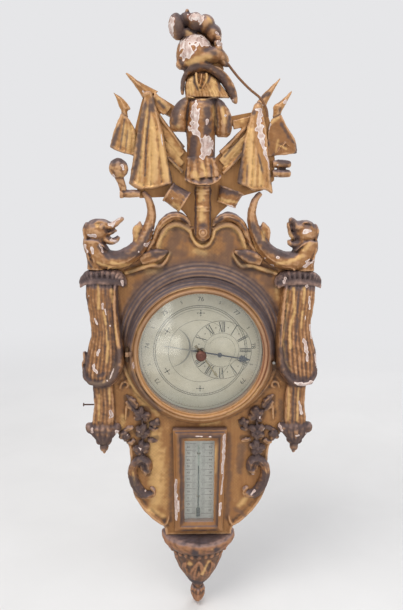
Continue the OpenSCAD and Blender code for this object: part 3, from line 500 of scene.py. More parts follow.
def side_carving(kind, side, shells, finish, **wear):
    """A carving of one side, laid out on the right and mirrored for the left."""
    node = kind + ("_left" if side < 0 else "_right")
    carving(node + "_carved", [mirrored(shell, side) for shell in shells], finish, [node], **wear)


MOST_TRIANGLES = 190000
SURROUNDINGS = [
    "front_panel", "trophy_board", "thermometer_box", "helmet_shell", "helmet_plume", "helmet_lining",
    "cuirass", "cannon_barrel", "banner_left_inner", "banner_left_outer", "banner_right_inner",
    "banner_right_outer", "lances_left", "lances_right", "field_drum_left", "field_drum_right", "arms_left",
    "arms_right", "dolphin_left", "dolphin_right", "scroll_left", "scroll_right", "drop_left", "drop_right",
    "garland_left", "garland_right", "pendant", "drum_moulding"]

# Marks of wear, of dirt with painted shade and of painted highlight, each a chain of x, z and radius in
# millimetres

MARKS = {
    "plume": {
        "chips": [(-47, 187, 3.6, -50, 176, 3.3, -47, 167, 2), (-18, 190, 5.3, -7, 190, 5.8, -6, 184, 3.1),
            (21, 155, 3.6, 29, 154, 1.8), (18, 169, 1.3, 21, 168, 1.3)],
        "dirt_and_shade": [(-36, 193, 11.1, -36, 173, 10.2), (-12, 175, 10.2), (-25, 195, 5.8), (14, 178, 5.8, 22, 172,
            4.4), (26, 142, 3.6), (37, 126, 4)],
        "painted_highlight": [(-25, 172, 2.7, -16, 169, 1.8), (4, 192, 1.8, 14, 180, 1.8)],
    },
    "helmet": {
        "chips": [(-27, 154, 8, -25, 141, 8, -31, 135, 4.4), (-15, 158, 11.1, -5, 158, 8.9, 6, 154, 4.4),
            (46, 74, 2.2)],
        "dirt_and_shade": [(-31, 91, 4.9, -32, 104, 5.3, -24, 116, 4.9, -7, 122, 3.6, 13, 121, 4.4, 24, 110, 6.7, 36,
            94, 8, 47, 80, 5.8), (-35, 130, 2.7, -32, 124, 3.1), (1, 144, 3.6, 15, 140, 3.6)],
        "painted_highlight": [(-25, 125, 3.1, -7, 130, 3.6, 9, 134, 2.7)],
    },
    "helmet_hair": {
        "dirt_and_shade": [(-15, 112, 1.4, -14, 101, 1.4, -9, 88, 1.2), (11, 111, 1.3, 7, 100, 1.2), (-25, 102, 1.3),
            (22, 103, 1.8, 26, 88, 1.8)],
        "painted_highlight": [(-17, 108, 4.4, -19, 87, 5.3), (16, 103, 4, 16, 83, 5.8), (2, 107, 2.7), (-11, 110, 2, -10,
            100, 2.2, -6, 88, 1.6), (4, 110, 2, 4, 100, 2), (33, 76, 3.6)],
    },
    "cuirass_and_skirt": {
        "chips": [(-12, 66, 4.4, -12, 52, 6.2, -13, 40, 5.8, -14, 30, 5.3, -7, 22, 2.2, -4, 15, 2.2, 2, 8,
            6.7, 6, 2, 8.9, 1, -6, 6.2, -1, -11, 4), (6, 12, 6.7, 14, 9, 2.7), (-19, 31, 4), (6, 43, 2.2, 5,
            37, 1.3), (-35, 50, 1.8), (34, 50, 1.8)],
        "dirt_and_shade": [(-33, 69, 8.9, -43, 55, 7.6, -43, 40, 5.8), (24, 72, 8.9, 10, 71, 6.7), (-16, 14, 6.7, -16,
            -12, 6.7), (6, 58, 5.3, 6, 24, 5.3), (18, 5, 3.1, 17, -12, 3.1), (40, 49, 3.1, 40, 29, 3.1),
            (-27, -24, 1.8, -25, -48, 1.8), (12, -24, 1.3, 15, -50, 1.3), (20, 66, 1.3, 23, 33, 1.3)],
        "painted_highlight": [(16, 64, 2.7, 17, 48, 2.7, 22, 37, 2.2), (29, 62, 2.2, 33, 41, 2.7), (-35, 75, 1.3, -15, 76,
            1.3), (-3, 73, 1.8, 18, 77, 1.8), (-39, 34, 3.1), (-14, -36, 3.6, -6, -44, 3.6), (0, -24, 2.7, 5,
            -40, 2.7)],
    },
    "cannon": {
        "dirt_and_shade": [(-11, -58, 1.7, -10, -133, 1.7), (13, -58, 1.7, 14, -133, 1.7), (2, -119, 5.4), (2, -78,
            1.2), (2, -141, 2.5)],
        "painted_highlight": [(-2, -62, 5.4, -2, -76, 4.5), (-1, -91, 5, -1, -107, 5)],
    },
    "banner_left": {
        "chips": [(-65, 22, 0.7, -62, 4, 0.7)],
        "dirt_and_shade": [(-82, 71, 1.6, -83, 48, 1.3, -88, 4, 1.3, -90, -41, 1.3), (-88, 69, 2.7, -97, 28, 3.6, -100,
            -12, 4, -112, -49, 4), (-76, 73, 5.3, -68, 68, 5.8, -56, 58, 3.1), (-64, 44, 1.6, -56, 4, 1.8,
            -48, -53, 2.2), (-56, -57, 3.1), (-95, 65, 2.7, -97, 40, 1.8), (-79, 64, 4, -76, 56, 2.7)],
        "painted_highlight": [(-79, 44, 2.7, -78, 28, 4.9, -76, -2, 6.7, -77, -33, 8, -81, -51, 7.6), (-68, 22, 3.6, -62,
            -8, 5.8, -58, -41, 5.8), (-86, 62, 1.6, -89, 28, 2, -95, -8, 2.4, -98, -41, 3.1), (-74, 82, 1.8,
            -62, 70, 1.8), (-102, -51, 3.1, -94, -56, 3.1)],
    },
    "banner_right": {
        "chips": [(88, 60, 4, 87, 40, 4.9, 90, 22, 4.9, 94, 6, 3.1, 98, -6, 2, 103, -16, 1.3, 106, -29,
            1.1)],
        "dirt_and_shade": [(64, 10, 2.2, 60, -23, 3.1, 59, -50, 3.6), (79, 56, 3.1), (87, -6, 1.3, 95, -35, 1.8), (70,
            -23, 1.1, 69, -52, 1.1), (110, -22, 3.6, 111, -51, 3.6)],
        "painted_highlight": [(73, 30, 4.9, 72, 6, 5.8, 77, -23, 6.2, 79, -50, 5.8), (91, -23, 2.7, 92, -52, 4)],
    },
    "banner_far_left": {
        "dirt_and_shade": [(-129, 36, 1.8, -136, 16, 4, -141, 5, 4), (-122, 44, 1.3, -129, 0, 1.3), (-117, 28, 0.9,
            -121, -4, 0.9)],
        "painted_highlight": [(-122, 36, 3.1, -125, 8, 3.1), (-113, 32, 4.9, -114, 0, 5.8), (-106, 22, 3.6, -106, -2,
            3.6)],
    },
    "banner_far_right": {
        "chips": [(104, 39, 2.7, 104, 34, 1.8)],
        "dirt_and_shade": [(123, 42, 1.8, 136, 21, 1.8, 150, 7, 1.8, 148, -3, 1.8), (112, -6, 2.7), (98, 31, 2.7, 103,
            7, 2.7)],
        "painted_highlight": [(120, 17, 0.9, 116, -3, 0.9), (117, 11, 0.9, 133, 3, 1.1), (114, -14, 0.9, 135, -9, 1.1),
            (106, 43, 2.7, 118, 50, 2.2)],
    },
    "lances_left_carved": {
        "chips": [(-93, 87, 1.8, -90, 83, 1.1)],
        "dirt_and_shade": [(-43, 23, 1.3, -24, -7, 1.3), (-52, -12, 1.3, -24, -42, 1.3), (-60, 63, 2.7, -68, 71, 2.7),
            (-112, 59, 1.8)],
        "painted_highlight": [(-52, 9, 5.8, -26, -24, 5.8), (-43, -24, 3.1, -26, -48, 3.1), (-70, 77, 2.2, -56, 63, 2.2),
            (-35, 9, 1.8)],
    },
    "lances_right_carved": {
        "chips": [(129, 76, 2.7, 127, 73, 1.8), (45, 65, 1.3, 41, 62, 0.9)],
        "dirt_and_shade": [(35, -10, 1.6, 66, 27, 1.6), (50, -19, 1.3, 63, -4, 1.3), (90, 79, 3.1, 102, 86, 3.1), (120,
            62, 3.6), (39, 14, 2.7, 49, 22, 2.7)],
        "painted_highlight": [(29, -17, 3.6, 62, 16, 4), (37, -23, 3.1, 58, 2, 3.1), (62, 45, 2.7)],
    },
    "mace_and_gun": {
        "chips": [(-125, -26, 1.8, -124, -31, 1.6), (-139, -42, 2.7)],
        "dirt_and_shade": [(-138, -19, 5.8, -123, -16, 5.3, -114, -22, 2.7)],
        "painted_highlight": [(-128, -41, 2.7)],
    },
    "gun_ends": {
        "chips": [(119, -22, 1.1), (119, -39, 0.9, 124, -43, 0.9)],
        "dirt_and_shade": [(123, -17, 3.6, 138, -18, 4), (136, -30, 3.6)],
    },
    "drum_small_left": {
        "chips": [(-19, -72, 1.7, -18, -78, 0.8), (-47, -75, 1.2)],
        "dirt_and_shade": [(-44, -57, 6.2, -32, -58, 6.2), (-60, -82, 2.5)],
        "painted_highlight": [(-44, -86, 4.1, -36, -95, 3.7)],
    },
    "drum_small_right": {
        "chips": [(40, -87, 1.7, 47, -88, 2.9, 53, -91, 1.7), (35, -53, 2.1, 45, -56, 1.7)],
        "dirt_and_shade": [(29, -62, 5.4, 43, -64, 5.4, 55, -67, 4.1)],
        "painted_highlight": [(29, -77, 2.5, 55, -81, 2.1)],
    },
    "scroll_left_carved": {
        "dirt_and_shade": [(-24, -115, 3.3, -32, -107, 2.1), (-66, -158, 5, -56, -162, 4.5, -78, -166, 4.5), (-44, -110,
            0.8, -60, -120, 1, -70, -132, 1)],
        "painted_highlight": [(-36, -111, 1.7, -52, -114, 1.7, -62, -120, 1.7)],
    },
    "scroll_right_carved": {
        "dirt_and_shade": [(24, -113, 3.7, 32, -105, 2.5), (63, -161, 5, 76, -169, 5.4, 86, -173, 4.1), (44, -105, 1,
            60, -111, 1.2, 71, -125, 1.2)],
        "painted_highlight": [(44, -111, 1.7, 60, -121, 1.9, 69, -135, 1.7)],
    },
    "dolphin_left_carved": {
        "chips": [(-179, -134, 2.6, -169, -135, 2.6), (-186, -150, 2.1, -183, -160, 2.1), (-175, -153, 2.1,
            -173, -162, 2.1), (-162, -148, 1.6, -158, -160, 1.3), (-144, -118, 3.4, -137, -111, 2.6, -132,
            -108, 2.1), (-145, -142, 1.6, -136, -144, 1.6), (-89, -150, 3.6, -84, -146, 2.1), (-78, -126,
            1.3), (-79, -135, 1), (-116, -190, 1.6), (-101, -160, 1)],
        "dirt_and_shade": [(-154, -153, 3.1, -143, -166, 3.9, -121, -167, 5.7, -103, -162, 5.2, -91, -143, 4.7, -80,
            -122, 3.6), (-139, -137, 6.2), (-187, -120, 3.6), (-176, -185, 2.6, -181, -177, 2.1), (-155,
            -122, 2.1, -151, -130, 2.1), (-148, -172, 2.1, -165, -152, 1.6)],
        "painted_highlight": [(-166, -178, 2.1, -139, -188, 2.6, -108, -182, 2.6, -93, -174, 2.1), (-104, -124, 4.1, -106,
            -142, 2.6), (-144, -177, 2.1, -121, -182, 2.1), (-165, -117, 3.1)],
    },
    "dolphin_right_carved": {
        "chips": [(165, -125, 3.6, 172, -124, 2.1), (123, -168, 2.3), (115, -183, 2.6, 120, -187, 1.6), (103,
            -170, 1), (167, -181, 2.6, 176, -176, 2.1, 187, -170, 1.6), (169, -174, 1.3, 174, -170, 1)],
        "dirt_and_shade": [(145, -112, 5.7, 150, -130, 4.1, 155, -141, 4.1), (149, -153, 6.7), (81, -116, 4.1, 94, -143,
            5.2, 113, -159, 5.7, 136, -165, 4.7), (189, -132, 3.1, 192, -155, 2.6), (170, -114, 2.6, 180,
            -117, 2.6)],
        "painted_highlight": [(66, -116, 2.6, 77, -140, 2.6, 90, -161, 3.1), (142, -130, 1.8, 148, -140, 1.8), (99, -128,
            3.1, 99, -140, 2.6), (123, -178, 2.6, 146, -173, 2.6, 161, -165, 2.6), (173, -145, 2.6, 163,
            -155, 2.6)],
    },
    "drop_left_carved": {
        "chips": [(-129, -208, 1.8, -128, -215, 1.8), (-160, -246, 1.8, -160, -253, 1.6), (-157, -254, 0.8,
            -155, -263, 1), (-174, -270, 1, -170, -279, 1.8), (-149, -282, 1.6), (-167, -321, 1.6, -170,
            -330, 2.1), (-176, -344, 2.1, -177, -354, 3.1, -172, -360, 1.6), (-183, -233, 1), (-154, -373,
            1.6), (-152, -432, 2.1, -150, -441, 2.1, -154, -444, 1.3), (-142, -468, 2.3, -142, -479, 2.6),
            (-184, -464, 1.6, -183, -469, 1.3), (-144, -354, 0.8, -150, -369, 0.8)],
        "dirt_and_shade": [(-195, -210, 5.6, -186, -200, 7.3, -171, -199, 8.1, -148, -203, 8.1, -133, -208, 7.3, -128,
            -218, 6.4), (-188, -222, 1.6, -185, -266, 1.6, -184, -305, 2.1), (-188, -321, 3.6, -190, -348,
            4.1, -194, -361, 3.6), (-138, -219, 1.3, -137, -258, 1.3, -132, -295, 1.3, -130, -332, 1.6),
            (-155, -222, 1.3, -153, -258, 1.3, -152, -305, 1.6), (-180, -467, 3.1, -159, -467, 3.1, -150,
            -469, 3.1), (-170, -367, 3.1, -159, -361, 2.6), (-182, -388, 2.1, -178, -408, 2.1), (-144, -399,
            1.6, -144, -452, 1.6), (-134, -320, 5, -140, -358, 8, -156, -380, 8.5, -184, -380, 8, -196, -362,
            7), (-140, -470, 12, -165, -490, 16, -190, -470, 12)],
        "painted_highlight": [(-154, -289, 1.8, -153, -321, 2.1, -155, -342, 1.8), (-167, -214, 1.6, -167, -253, 1.6),
            (-160, -258, 1.6, -155, -279, 1.6), (-140, -345, 2.3, -149, -367, 2.3, -165, -379, 2.3, -185,
            -377, 2.1), (-141, -279, 1.3, -137, -313, 1.6), (-165, -491, 3.1), (-146, -222, 2.1, -145, -242,
            1.6), (-170, -402, 1.3, -172, -449, 1.3), (-153, -391, 1.3, -153, -419, 1.3)],
    },
    "drop_right_carved": {
        "chips": [(136, -202, 2.3, 135, -210, 1.8), (173, -216, 2.6), (178, -234, 1.8, 179, -252, 1.6), (172,
            -265, 0.8, 172, -271, 0.8), (181, -281, 1.8, 185, -302, 1.8), (171, -304, 2.1, 176, -319, 2.6,
            178, -340, 1.8), (193, -332, 2.1, 195, -350, 2.1), (157, -377, 2.3, 172, -382, 3.1, 188, -378,
            2.6), (169, -416, 1.8, 172, -429, 2.1, 175, -438, 2.1), (137, -460, 1.8, 142, -468, 1.6), (165,
            -476, 1.8, 170, -475, 1.3), (183, -473, 1)],
        "dirt_and_shade": [(130, -209, 5.6, 138, -200, 6.4, 159, -198, 7.3, 177, -199, 6.4, 190, -206, 5.6), (188, -263,
            3.1, 193, -321, 3.6, 193, -359, 3.1), (153, -363, 3.1, 169, -372, 3.6, 189, -370, 3.6), (132,
            -279, 1.3, 131, -321, 1.3, 136, -354, 1.6), (159, -221, 1.6, 159, -263, 1.6, 158, -305, 1.6),
            (140, -252, 1, 140, -300, 1, 144, -332, 1.3), (135, -455, 2.6, 157, -467, 3.1, 186, -457, 3.6),
            (160, -488, 5.2), (143, -392, 1.3, 145, -451, 1.3), (159, -392, 1.3, 160, -451, 1.3), (134, -320,
            5, 140, -358, 8, 156, -380, 8.5, 184, -380, 8, 196, -362, 7), (140, -470, 12, 165, -490, 16, 190,
            -470, 12)],
        "painted_highlight": [(151, -218, 1.6, 154, -258, 1.6, 147, -284, 1.8, 149, -319, 1.8), (142, -221, 1.3, 141,
            -258, 1.3, 136, -305, 1.6, 140, -340, 1.6, 150, -356, 1.3), (169, -218, 2.1, 168, -242, 1.8),
            (151, -392, 1.3, 152, -451, 1.3), (167, -392, 1.3, 167, -451, 1.3), (167, -257, 1.3, 166, -284,
            1.3)],
    },
    "garland_left_carved": {
        "chips": [(-104, -470, 1.7), (-102, -502, 1.9), (-94, -583, 1.4), (-125, -478, 1)],
        "dirt_and_shade": [(-124, -410, 4.3, -116, -426, 4.8, -104, -441, 7.1), (-83, -454, 6.2), (-129, -479, 6.2),
            (-80, -488, 5.2), (-96, -533, 7.1, -91, -544, 5.2), (-96, -585, 5.7, -84, -588, 3.8), (-113,
            -504, 2.4, -108, -517, 2.9), (-99, -425, 12, -100, -520, 14), (-120, -560, 10, -100, -590, 9),
            (-72, -458, 10, -130, -484, 10)],
        "painted_highlight": [(-107, -480, 1.9, -95, -467, 1.9), (-116, -544, 1.7, -113, -568, 1.7), (-102, -523, 2.4)],
    },
    "garland_right_carved": {
        "chips": [(103, -446, 2.1), (111, -468, 1.9), (80, -548, 1.2, 86, -558, 1.4, 95, -553, 1.2), (92,
            -590, 1.2, 98, -583, 1.2), (137, -469, 1.2, 141, -475, 1.4)],
        "dirt_and_shade": [(123, -416, 4.8, 107, -437, 7.1), (68, -466, 5.7, 85, -476, 7.1), (115, -468, 7.1, 132, -463,
            4.8), (108, -500, 9.5, 99, -516, 4.8), (84, -538, 8.6), (112, -546, 3.3, 113, -568, 3.8), (98,
            -581, 8.1), (99, -425, 12, 100, -520, 14), (118, -560, 10, 100, -590, 9), (72, -458, 10, 130,
            -480, 10)],
        "painted_highlight": [(96, -484, 1.9), (92, -455, 1.9), (94, -598, 1.9)],
    },
    "carved_panel": {
        "dirt_and_shade": [(-36, -136, 12.4, -52, -158, 8.3, -32, -166, 10.3), (41, -135, 10.3, 50, -158, 8.3, 38, -166,
            10.3), (-60, -199, 12.4, -36, -180, 10.3, 5, -174, 10.3, 46, -178, 10.3, 77, -196, 12.4), (106,
            -207, 10.3, 119, -219, 8.3), (-93, -207, 6.2, -107, -220, 6.2), (-48, -479, 2.9, -50, -565, 3.3,
            -50, -645, 3.3), (52, -480, 3.3, 53, -566, 4.3, 50, -641, 3.8), (-44, -472, 1.9, 44, -471, 1.9),
            (140, -419, 3.3, 143, -454, 3.3), (64, -622, 3.8, 88, -639, 1.9), (-59, -654, 3.3), (74, -504,
            7.1, 70, -552, 4.8), (-115, -249, 7, -106, -229, 8.7, -82, -206, 10.5, -56, -191, 10.5), (79,
            -209, 10.5, 106, -234, 10.5, 125, -259, 7), (121, -299, 4.5, 129, -336, 4.5, 126, -364, 4.2),
            (106, -401, 7)],
        "painted_highlight": [(-70, -158, 2.1, -66, -140, 2.5, -56, -126, 2.9, -42, -120, 2.9, -24, -125, 2.1, -15, -134,
            2.1, -11, -146, 2.5, 2, -151, 2.9, 15, -146, 2.5, 19, -131, 2.1, 31, -122, 1.7, 47, -120, 2.5,
            62, -133, 2.5, 69, -149, 2.5, 75, -159, 1.7), (-131, -200, 2.1, -111, -191, 3.3, -90, -183, 3.3,
            -74, -180, 2.9, -62, -174, 2.5, -51, -164, 1.7), (52, -166, 1.7, 65, -184, 2.1, 83, -184, 2.9,
            104, -190, 2.9, 124, -195, 2.1), (-70, -193, 5.4, -88, -195, 3.7), (5, -164, 5.4, -11, -160,
            4.1), (-81, -465, 9.5, -74, -538, 11.9, -74, -606, 11.9), (-132, -447, 3.3, -135, -465, 3.3), (4,
            -463, 2.9, 33, -458, 2.4), (-97, -413, 2.4, -73, -444, 2.9), (-87, -620, 4.8, -61, -637, 2.9),
            (87, -600, 3.8, 72, -616, 3.8), (-124, -363, 4.5, -117, -387, 4.5, -96, -425, 4.2), (125, -218,
            2.4, 128, -241, 2.4)],
    },
    "turned_drum": {
        "dirt_and_shade": [(-118, -305, 5.9, -114, -270, 7, -97, -238, 8, -66, -214, 8.7, -29, -203, 9.1, 12, -203, 9.1,
            53, -214, 9.1, 87, -238, 8.7, 108, -269, 8, 120, -305, 6.3, 122, -330, 5.2), (-115, -363, 2.4,
            -100, -396, 2.8, -68, -430, 3.1)],
        "painted_highlight": [(-122, -341, 1.7, -119, -366, 1.7), (-86, -431, 1.7, -56, -448, 1.7)],
    },
    "turned_bezel": {
        "chips": [(-112, -344, 1.6, -111, -353, 1.7)],
        "dirt_and_shade": [(-108, -361, 1.4, -100, -386, 1.6, -74, -420, 1.7), (-119, -330, 5, -117, -330, 5)],
        "painted_highlight": [(-105, -293, 1.7, -93, -254, 1.7, -68, -230, 1.7, -29, -219, 1.7, 5, -218, 1.7), (100, -387,
            2.1, 82, -415, 2.1, 47, -435, 2.1)],
    },
    "carved_pendant": {
        "chips": [(-41, -651, 1.7)],
        "dirt_and_shade": [(-61, -651, 5.7, -36, -663, 5.2, 0, -669, 4.8, 35, -664, 5.2, 58, -650, 6.2), (-8, -686, 6.2,
            -5, -700, 5.2), (-15, -762, 7.1, 6, -769, 7.1), (30, -686, 6.2)],
        "painted_highlight": [(-33, -657, 1.9, 0, -662, 1.9, 30, -658, 1.9), (-15, -719, 3.8), (18, -714, 2.4, 6, -740,
            2.4), (23, -682, 1.4)],
    },
    "thermometer_frame": {
        "chips": [(42, -476, 2.1, 41, -508, 2.6, 40, -545, 2.1), (41, -551, 1.2, 38, -584, 1.4), (37, -603,
            2.6, 36, -625, 2.1), (-40, -558, 1.7, -42, -572, 2.9, -41, -616, 3.1, -40, -635, 1.9), (-36,
            -596, 1.4, -36, -616, 1.2), (-9, -476, 1.2, 18, -477, 1.2)],
        "dirt_and_shade": [(-34, -478, 4, -31, -560, 4, -30, -640, 4), (-34, -477, 4, 34, -477, 4), (-30, -655, 3, 30,
            -655, 3), (34, -478, 2.2, 31, -650, 2.2)],
        "painted_highlight": [(-21, -481, 1.4, 18, -481, 1.4), (29, -494, 1.9, 29, -545, 1.9), (-5, -648, 1.4)],
    },
}


# Shader arithmetic


class Value:
    """A shader socket that can be written in plain arithmetic."""

    def __init__(self, shader, socket):
        self.shader = shader
        self.socket = socket

    def _math(self, operation, *others):
        return self.shader.node("ShaderNodeMath", {"operation": operation}, 0, *((self,) + others))

    def __add__(self, other):
        return self._math("ADD", other)

    def __radd__(self, other):
        return self._math("ADD", other)

    def __sub__(self, other):
        return self._math("SUBTRACT", other)

    def __rsub__(self, other):
        return self.shader.node("ShaderNodeMath", {"operation": "SUBTRACT"}, 0, other, self)

    def __mul__(self, other):
        return self._math("MULTIPLY", other)

    def __rmul__(self, other):
        return self._math("MULTIPLY", other)

    def __truediv__(self, other):
        return self._math("DIVIDE", other)

    def __neg__(self):
        return self._math("MULTIPLY", -1.0)

    def max(self, other):
        return self._math("MAXIMUM", other)

    def sine(self):
        return self._math("SINE")

    def size(self):
        return self._math("ABSOLUTE")

    def root(self):
        return self._math("SQRT")

    def step(self, low, high):
        """0 below low, 1 above high, and smooth between them."""
        return self.shader.node(
            "ShaderNodeMapRange", {"interpolation_type": "SMOOTHSTEP"}, 0, self, low, high, 0.0, 1.0)


class Shader:
    """A material whose nodes are written as expressions."""

    def __init__(self, name):
        self.material = bpy.data.materials.new(name)
        self.material.use_nodes = True
        self.tree = self.material.node_tree
        self.tree.nodes.clear()
        self.output = self.tree.nodes.new("ShaderNodeOutputMaterial")
        self.object = self.node("ShaderNodeTexCoord", {}, "Object")
        parts = self.tree.nodes.new("ShaderNodeSeparateXYZ")
        self.tree.links.new(self.object.socket, parts.inputs[0])
        self.x, self.y, self.z = (Value(self, parts.outputs[k]) * 1000.0 for k in range(3))

    def node(self, kind, settings, output, *inputs, **named):
        """Adds one node: its settings, then its sockets by order or by name; gives the named output."""
        made = self.tree.nodes.new(kind)
        for key, value in settings.items():
            setattr(made, key, value)
        for key, value in list(enumerate(inputs)) + list(named.items()):
            if value is None:
                continue
            socket = made.inputs[key if isinstance(key, int) else key.replace("_", " ")]
            if isinstance(value, Value):
                self.tree.links.new(value.socket, socket)
            else:
                socket.default_value = value
        return Value(self, made.outputs[output])

    def attribute(self, name):
        return self.node("ShaderNodeAttribute", {"attribute_name": name}, "Fac")

    def noise(self, size, detail=3.0, rough=0.55, stretch=None):
        """A cloudy field from 0 to 1; size is in millimetres."""
        where = self.object
        if stretch:
            where = self.node("ShaderNodeMapping", {}, 0, self.object, None, None, stretch)
        return self.node("ShaderNodeTexNoise", {}, 0, Vector=where, Scale=1000.0 / size, Detail=detail,
                         Roughness=rough)

    def cracks(self, size):
        """Distance to the edge of irregular cells of that size in millimetres."""
        return self.node("ShaderNodeTexVoronoi", {"feature": "DISTANCE_TO_EDGE"}, 0, Vector=self.object,
                         Scale=1000.0 / size)

    def colour(self, rgb):
        return tuple(rgb) + (1.0,)

    def mix(self, first, second, share):
        """A colour between two others."""
        made = self.tree.nodes.new("ShaderNodeMix")
        made.data_type = "RGBA"
        for socket, value in ((made.inputs[0], share), (made.inputs[6], first), (made.inputs[7], second)):
            if isinstance(value, Value):
                self.tree.links.new(value.socket, socket)
            else:
                socket.default_value = value if isinstance(value, float) else self.colour(value[:3])
        return Value(self, made.outputs[2])

    def bump(self, height, distance, strength=1.0):
        """A normal bent by a height; the distance is in millimetres."""
        return self.node("ShaderNodeBump", {}, 0, Strength=strength, Distance=distance * MM, Height=height)

    def finish(self, surface):
        self.tree.links.new(surface.socket, self.output.inputs[0])
        return self.material

    def principled(self, **named):
        return self.node("ShaderNodeBsdfPrincipled", {}, 0, **named)


# Finishes


WOOD_DARK = colour_of(84, 62, 46)
WOOD_LIGHT = colour_of(134, 102, 72)


